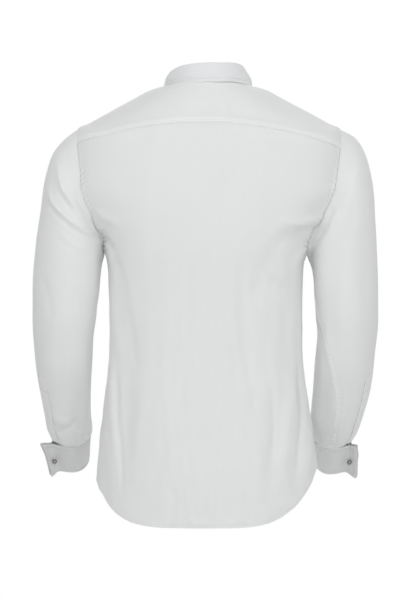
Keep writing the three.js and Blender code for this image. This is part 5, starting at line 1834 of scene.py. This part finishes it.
@dataclass
class Collar:
    """The collar: a stand round the neck, lapped left over right, and a leaf folded down over it."""

    wardrobe: Wardrobe
    body: Body
    wall: float = 1.4
    lap: float = 13
    lap_lift: float = 1.1
    seam_gap: float = 0.4
    overlap_lift: float = 1.7
    roll_centre: float = 1.0
    roll_radius: float = 2.4
    roll_rise: float = 0.5
    roll_share: float = 0.22
    leaf_shift: float = -2.5
    cad_wall: float = 1.6

    def stand_point(self, degrees: Array, share: Array | float, lapped: Array | float = 0.0) -> Array:
        """Points of the stand's seen face: the neck ring, raised and leant in, and apart where it laps.

        Args:
            degrees: round from the centre front.
            share: of the stand's height.
            lapped: how far out it lies, or 0 for where the stand's own ends lie.

        Returns:
            Points in space.
        """
        degrees = np.asarray(degrees, float)
        turn = degrees * DEGREE
        base = self.body.plain(turn, np.zeros_like(turn))
        outwards = np.stack([np.sin(turn), -np.cos(turn), 0 * turn], axis=-1)
        within = np.mod(degrees + 360, 360)
        rise, lean = STAND_ROWS.read("height", within) * share, STAND_ROWS.read("lean", within)
        left = 1 - ease(self.lap, 3 * self.lap, degrees)
        right = ease(360 - 3 * self.lap, 360 - self.lap, degrees)
        lap = self.lap_lift * np.where(np.asarray(lapped) > 0, lapped, left - right)
        front = np.minimum(np.abs(degrees), np.abs(360 - degrees))
        seam = self.seam_gap + self.overlap_lift * (1 - ease(25, 60, front))
        moved = base + outwards * (lap - lean * rise)[..., None]
        moved[..., 2] += rise + seam
        return moved

    def leaf_point(self, s: Array, t: Array) -> Array:
        """Points of the leaf's seen face.

        s goes from the left front edge (0) over the back (1) to the right one (2). t goes over the fold on a
        half circle up to roll_share, then straight to the edge with a slight bow.
        """
        s, t = np.broadcast_arrays(np.asarray(s, float), np.asarray(t, float))
        left = s <= 1
        row = np.where(left, s, 2 - s)
        fold_at = LEAF_ROWS.read("fold", row)
        fold = np.where(left, fold_at, 360 - fold_at)
        turn = LEAF_ROWS.read("turn", row) * DEGREE
        turn = np.where(left, turn, 2 * math.pi - turn)
        reach = LEAF_ROWS.read("reach", row) + np.where(left, 0, LEAF_ROWS.read("more", row))
        top = self.stand_point(fold, 1.0, 1 - ease(self.lap, 3 * self.lap, fold_at))
        fold_turn = fold * DEGREE
        out = np.stack([np.sin(fold_turn), -np.cos(fold_turn), 0 * fold_turn], axis=-1)
        up = np.array([0.0, 0.0, 1.0])
        centre = top + self.roll_centre * out + self.roll_rise * up
        angle = math.pi * (1 - np.minimum(t / self.roll_share, 1))
        around = np.cos(angle)[..., None] * out + np.sin(angle)[..., None] * up
        rolled = centre + self.roll_radius * around
        edge = np.stack([self.leaf_shift + np.sin(turn) * reach, -np.cos(turn) * reach, 0 * turn], axis=-1)
        lift = LEAF_ROWS.read("lift", row) - np.where(left, 0, 0.3 * LEAF_ROWS.read("more", row))
        edge[..., 2] = self.height_at(turn, reach) + lift + self.cad_wall
        u = np.clip((t - self.roll_share) / (1 - self.roll_share), 0, 1)
        bow = np.sin(math.pi * u) * mix(5, 2, row)
        fall = mix(centre + self.roll_radius * out, edge, u[..., None])
        fall = fall + (0.7 * bow)[..., None] * out + (0.5 * bow)[..., None] * up
        return np.where((t <= self.roll_share)[..., None], rolled, fall)

    def height_at(self, turn: Array, reach: Array) -> Array:
        """Height of the body form at places in plan."""

        def within(down: Array) -> Array:
            """Whether lengths down are nearer the middle than the place."""
            point = self.body.plain(turn, down)
            return np.hypot(point[..., 0], point[..., 1]) < reach

        down = halve(0, 130, np.shape(turn), within)
        return self.body.plain(turn, down)[..., 2]

    def build(self) -> None:
        """Makes the stand, the leaf and their stitches."""
        degrees = np.linspace(-self.lap, 360 + self.lap, 220)[None]
        share = np.linspace(1, 0, 18)[:, None]
        degrees, share = np.broadcast_arrays(degrees, share)
        outer = self.stand_point(degrees, share)
        cloth = np.stack([degrees * 1.15, share * -30], axis=-1)
        fused = self.wardrobe.fused
        made = self.wardrobe.shell("collar_stand_cloth", outer, cloth, self.wall, material=fused)
        self.wardrobe.sheet(made, "collar_stand", outer, "folded")
        s = np.linspace(0, 2, 261)[None]
        t = np.concatenate([np.linspace(0, self.roll_share, 11), np.linspace(self.roll_share, 1, 36)[1:]])
        s, t = np.broadcast_arrays(s, t[:, None])
        outer = self.leaf_point(s, t)
        down, across = lengths_along(outer, 0), lengths_along(outer, 1)
        to_edge = np.minimum(down[-1:] - down, np.minimum(across, across[:, -1:] - across))
        normal = grid_normals(outer)
        relief = 0.2 * bell(to_edge - 3.2, 2.6) - 0.15 * bell(to_edge - 6.6, 0.9) - 0.2 * bell(to_edge, 0.8)
        soft = Ripple(height=0.22, longest=50, shortest=18, seed=41).rise(across, down)
        drawn = 0.08 * np.sin(across / 1.5 + np.sin(across / 8)) * bell(to_edge - 6, 3.5)
        outer = outer + normal * (relief + soft * ease(4, 14, down) + drawn)[..., None]
        cloth = np.stack([across, down], axis=-1)
        thick = mix(0.5, self.wall, ease(0, 7, to_edge))
        made = self.wardrobe.shell("collar_leaf_cloth", outer, cloth, thick, material=fused)
        self.wardrobe.sheet(made, "collar_leaf", outer, "folded")
        self.stitches()

    def stitches(self) -> None:
        """A row 6 mm inside the leaf's edge and one along the foot of the stand."""
        ends = [(np.full(60, end), np.linspace(0.26, 0.85, 60)) for end in (0.035, 1.965)]
        lines = []
        for s, t in ((np.linspace(0.06, 1.94, 260), np.full(260, 0.85)), *ends):
            centre = self.leaf_point(s, t)
            below, beside = (self.leaf_point(s + ds, t + dt) - centre for ds, dt in ((0, 0.004), (0.004, 0)))
            normal = unit(np.cross(below, beside))
            lines.append((centre + 0.1 * normal, normal))
        degrees = np.linspace(-self.lap + 2, 360 - self.lap, 200)
        centre = self.stand_point(degrees, 0.12)
        turn = degrees * DEGREE
        lines.append((centre, np.stack([np.sin(turn), -np.cos(turn), 0 * turn], axis=-1)))
        self.wardrobe.sew("collar_stitches", lines, pitch=2.8)


@dataclass
class Buttons:
    """The front buttons and the collar's: a dished face with a rim, four holes and crossed thread."""

    wardrobe: Wardrobe
    body: Body
    collar: Collar
    radius: float = 5.7
    thick: float = 2.4
    count: int = 7
    first: float = 66
    step: float = 88
    lift: float = 4.2
    hole_at: float = 1.35
    hole: float = 0.75

    def face(self, r: Array, angle: Array) -> Array:
        """Height of the seen face: a raised rim, a dish inside it and four round holes."""
        share = r / self.radius
        rim = self.thick - 0.9 * (1 - ease(0.52, 0.74, share)) - 1.4 * ease(0.86, 1, share) ** 2
        x, y = r * np.cos(angle), r * np.sin(angle)
        holes = sum(
            1 - ease(self.hole * 0.75, self.hole, np.hypot(x - sx * self.hole_at, y - sy * self.hole_at))
            for sx in (-1, 1)
            for sy in (-1, 1)
        )
        return rim - 0.9 * holes

    def build(self) -> None:
        """Makes each button where its node is, and its thread."""
        for i in range(self.count):
            down = self.first + i * self.step
            turn, at = np.array(0.0), np.array(float(down))
            normal = self.body.plain_normal(turn, at)
            self.button(f"button_{i + 1}", self.body.point(turn, at) + self.lift * normal, normal)
        front = self.collar.stand_point(np.array(0.0), 0.5) + np.array([0.0, -0.3, 0.0])
        self.button("button_collar", front, np.array([0.0, -1.0, 0.0]))

    def button(self, node: str, centre: Array, normal: Array) -> None:
        """One button at a point, facing along a normal, and a cross of thread in its holes."""
        side = unit(np.cross(np.array([0.0, 0.0, 1.0]), normal))
        up = np.cross(normal, side)
        r = np.concatenate([np.linspace(0.02, 0.62, 20), np.linspace(0.62, 1, 12)[1:]]) * self.radius
        columns = 64
        angle = np.linspace(0, 2 * math.pi, columns, endpoint=False)
        r, angle = np.broadcast_arrays(r[:, None], angle[None])
        height = self.face(r, angle)
        wall = np.array([(1.0, 0.5), (0.9, 0.12), (0.78, 0.0), (0.4, 0.0), (0.02, 0.0)])
        r = np.concatenate([r, np.repeat(wall[:, :1] * self.radius, columns, axis=1)])
        height = np.concatenate([height, np.repeat(wall[:, 1:] * self.thick, columns, axis=1)])
        angle = np.repeat(angle[:1], len(r), axis=0)
        grid = centre + (r * np.cos(angle))[..., None] * side + (r * np.sin(angle))[..., None] * up
        grid = grid + height[..., None] * normal
        faces = tube_faces(len(r), columns)
        made = self.wardrobe.mesh(f"{node}_face", grid.reshape(-1, 3), faces, self.wardrobe.pearl)
        self.wardrobe.fit(made, (node,), "button")
        lines = []
        for sx, sy in ((1, 1), (1, -1)):
            run = np.linspace(-1, 1, 7)[:, None] * self.hole_at
            path = centre + run * sx * side + run * sy * up + (self.thick - 0.75) * normal
            lines.append((path, np.repeat(normal[None], 7, axis=0)))
        self.wardrobe.sew(f"{node}_thread", lines, pitch=1.3)


@dataclass
class Studio:
    """The photograph's view, a pale floor and soft light."""

    pixel: float = 1.765
    width: int = 401
    height: int = 601
    origin: tuple[float, float] = (206.5, 84.0)
    distance: float = 4000
    sensor: float = 36
    floor_z: float = -1.4
    floor_half: float = 2.4

    def camera(self) -> None:
        """A level camera behind the shirt, whose frame is the photograph's."""
        data = bpy.data.cameras.new("camera")
        data.sensor_width = self.sensor
        data.lens = self.sensor * self.distance / (self.height * self.pixel)
        made = bpy.data.objects.new("camera", data)
        x = (self.origin[0] - self.width / 2) * self.pixel
        z = (self.origin[1] - self.height / 2) * self.pixel
        made.location = (x * MM, self.distance * MM, z * MM)
        made.rotation_euler = (math.pi / 2, 0, math.pi)
        bpy.context.scene.collection.objects.link(made)
        bpy.context.scene.camera = made

    def light(self, name: str, place: Sequence[float], size: float, power: float) -> None:
        """A square soft light that faces the middle of the shirt."""
        data = bpy.data.lights.new(name, "AREA")
        data.size, data.energy = size, power
        made = bpy.data.objects.new(name, data)
        made.location = place
        target = Vector((0, 0, -0.38))
        made.rotation_euler = (target - Vector(place)).to_track_quat("-Z", "Y").to_euler()
        bpy.context.scene.collection.objects.link(made)

    def build(self) -> None:
        """Places the camera, the floor, the lights and the surroundings."""
        self.camera()
        corners = np.array([(-1, -1), (1, -1), (1, 1), (-1, 1)], float) * self.floor_half / MM
        points = np.column_stack([corners, np.full(4, self.floor_z / MM)])
        shader = Shader("pale_floor")
        place = shader.node("ShaderNodeTexCoord", out="Object")
        cloud = shader.noise(place, 0.7, 2)
        shader.principled(
            base_color=shader.tint(cloud, (0.8, 0.8, 0.8), (0.84, 0.84, 0.84)),
            roughness=0.9,
            specular_ior_level=0.0,
        )
        mesh = bpy.data.meshes.new("floor")
        mesh.from_pydata((points * MM).tolist(), [], [(0, 1, 2, 3)])
        mesh.materials.append(shader.material)
        floor = bpy.data.objects.new("floor", mesh)
        bpy.context.scene.collection.objects.link(floor)
        for ahead, word in ((1, "back"), (-1, "front")):
            self.light(f"{word}_key", (0.5 * ahead, 2.3 * ahead, 2.3), 1.0, 25)
            self.light(f"{word}_fill", (-0.9 * ahead, 3.4 * ahead, 0.7), 2.4, 37)
            self.light(f"{word}_side", (-2.8 * ahead, 1.8 * ahead, 0.6), 1.6, 15)
            self.light(f"{word}_other_side", (2.6 * ahead, 1.9 * ahead, 0.6), 1.6, 17)
        self.surround()
        bpy.context.scene.view_settings.view_transform = "Standard"

    def surround(self) -> None:
        """White all round, as bright as the picture's ground where it is seen, and dimmer as light."""
        world = bpy.data.worlds.new("studio")
        world.use_nodes = True
        tree = world.node_tree
        tree.nodes.clear()
        ray = tree.nodes.new("ShaderNodeLightPath")
        seen, dim = tree.nodes.new("ShaderNodeBackground"), tree.nodes.new("ShaderNodeBackground")
        seen.inputs["Color"].default_value = (1, 1, 1, 1)
        seen.inputs["Strength"].default_value = 1.0
        dim.inputs["Color"].default_value = (0.98, 0.99, 1.0, 1)
        dim.inputs["Strength"].default_value = 0.26
        both, output = tree.nodes.new("ShaderNodeMixShader"), tree.nodes.new("ShaderNodeOutputWorld")
        tree.links.new(ray.outputs["Is Camera Ray"], both.inputs[0])
        tree.links.new(dim.outputs[0], both.inputs[1])
        tree.links.new(seen.outputs[0], both.inputs[2])
        tree.links.new(both.outputs[0], output.inputs["Surface"])
        bpy.context.scene.world = world


def main() -> None:
    """Loads the frame and builds the shirt piece by piece."""
    logging.basicConfig(level=logging.INFO, format="%(message)s")
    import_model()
    Studio().build()
    wardrobe, body = Wardrobe(), Body()
    armholes = {side: Armhole(side, body) for side in Side}
    panels = Panels(wardrobe, body, armholes)
    panels.back()
    panels.yoke()
    for side in Side:
        panels.front(side)
    panels.band()
    panels.stitches()
    vents = {Side.LEFT: 42 * DEGREE, Side.RIGHT: 36 * DEGREE}
    fins = {Side.LEFT: 40 * DEGREE, Side.RIGHT: 36 * DEGREE}
    for side in Side:
        arm = Arm(side, armholes[side])
        Sleeve(wardrobe, arm, vents[side]).build()
        Cuff(wardrobe, arm, fins[side]).build()
    collar = Collar(wardrobe, body)
    collar.build()
    Buttons(wardrobe, body, collar).build()


if __name__ == "__main__":
    main()
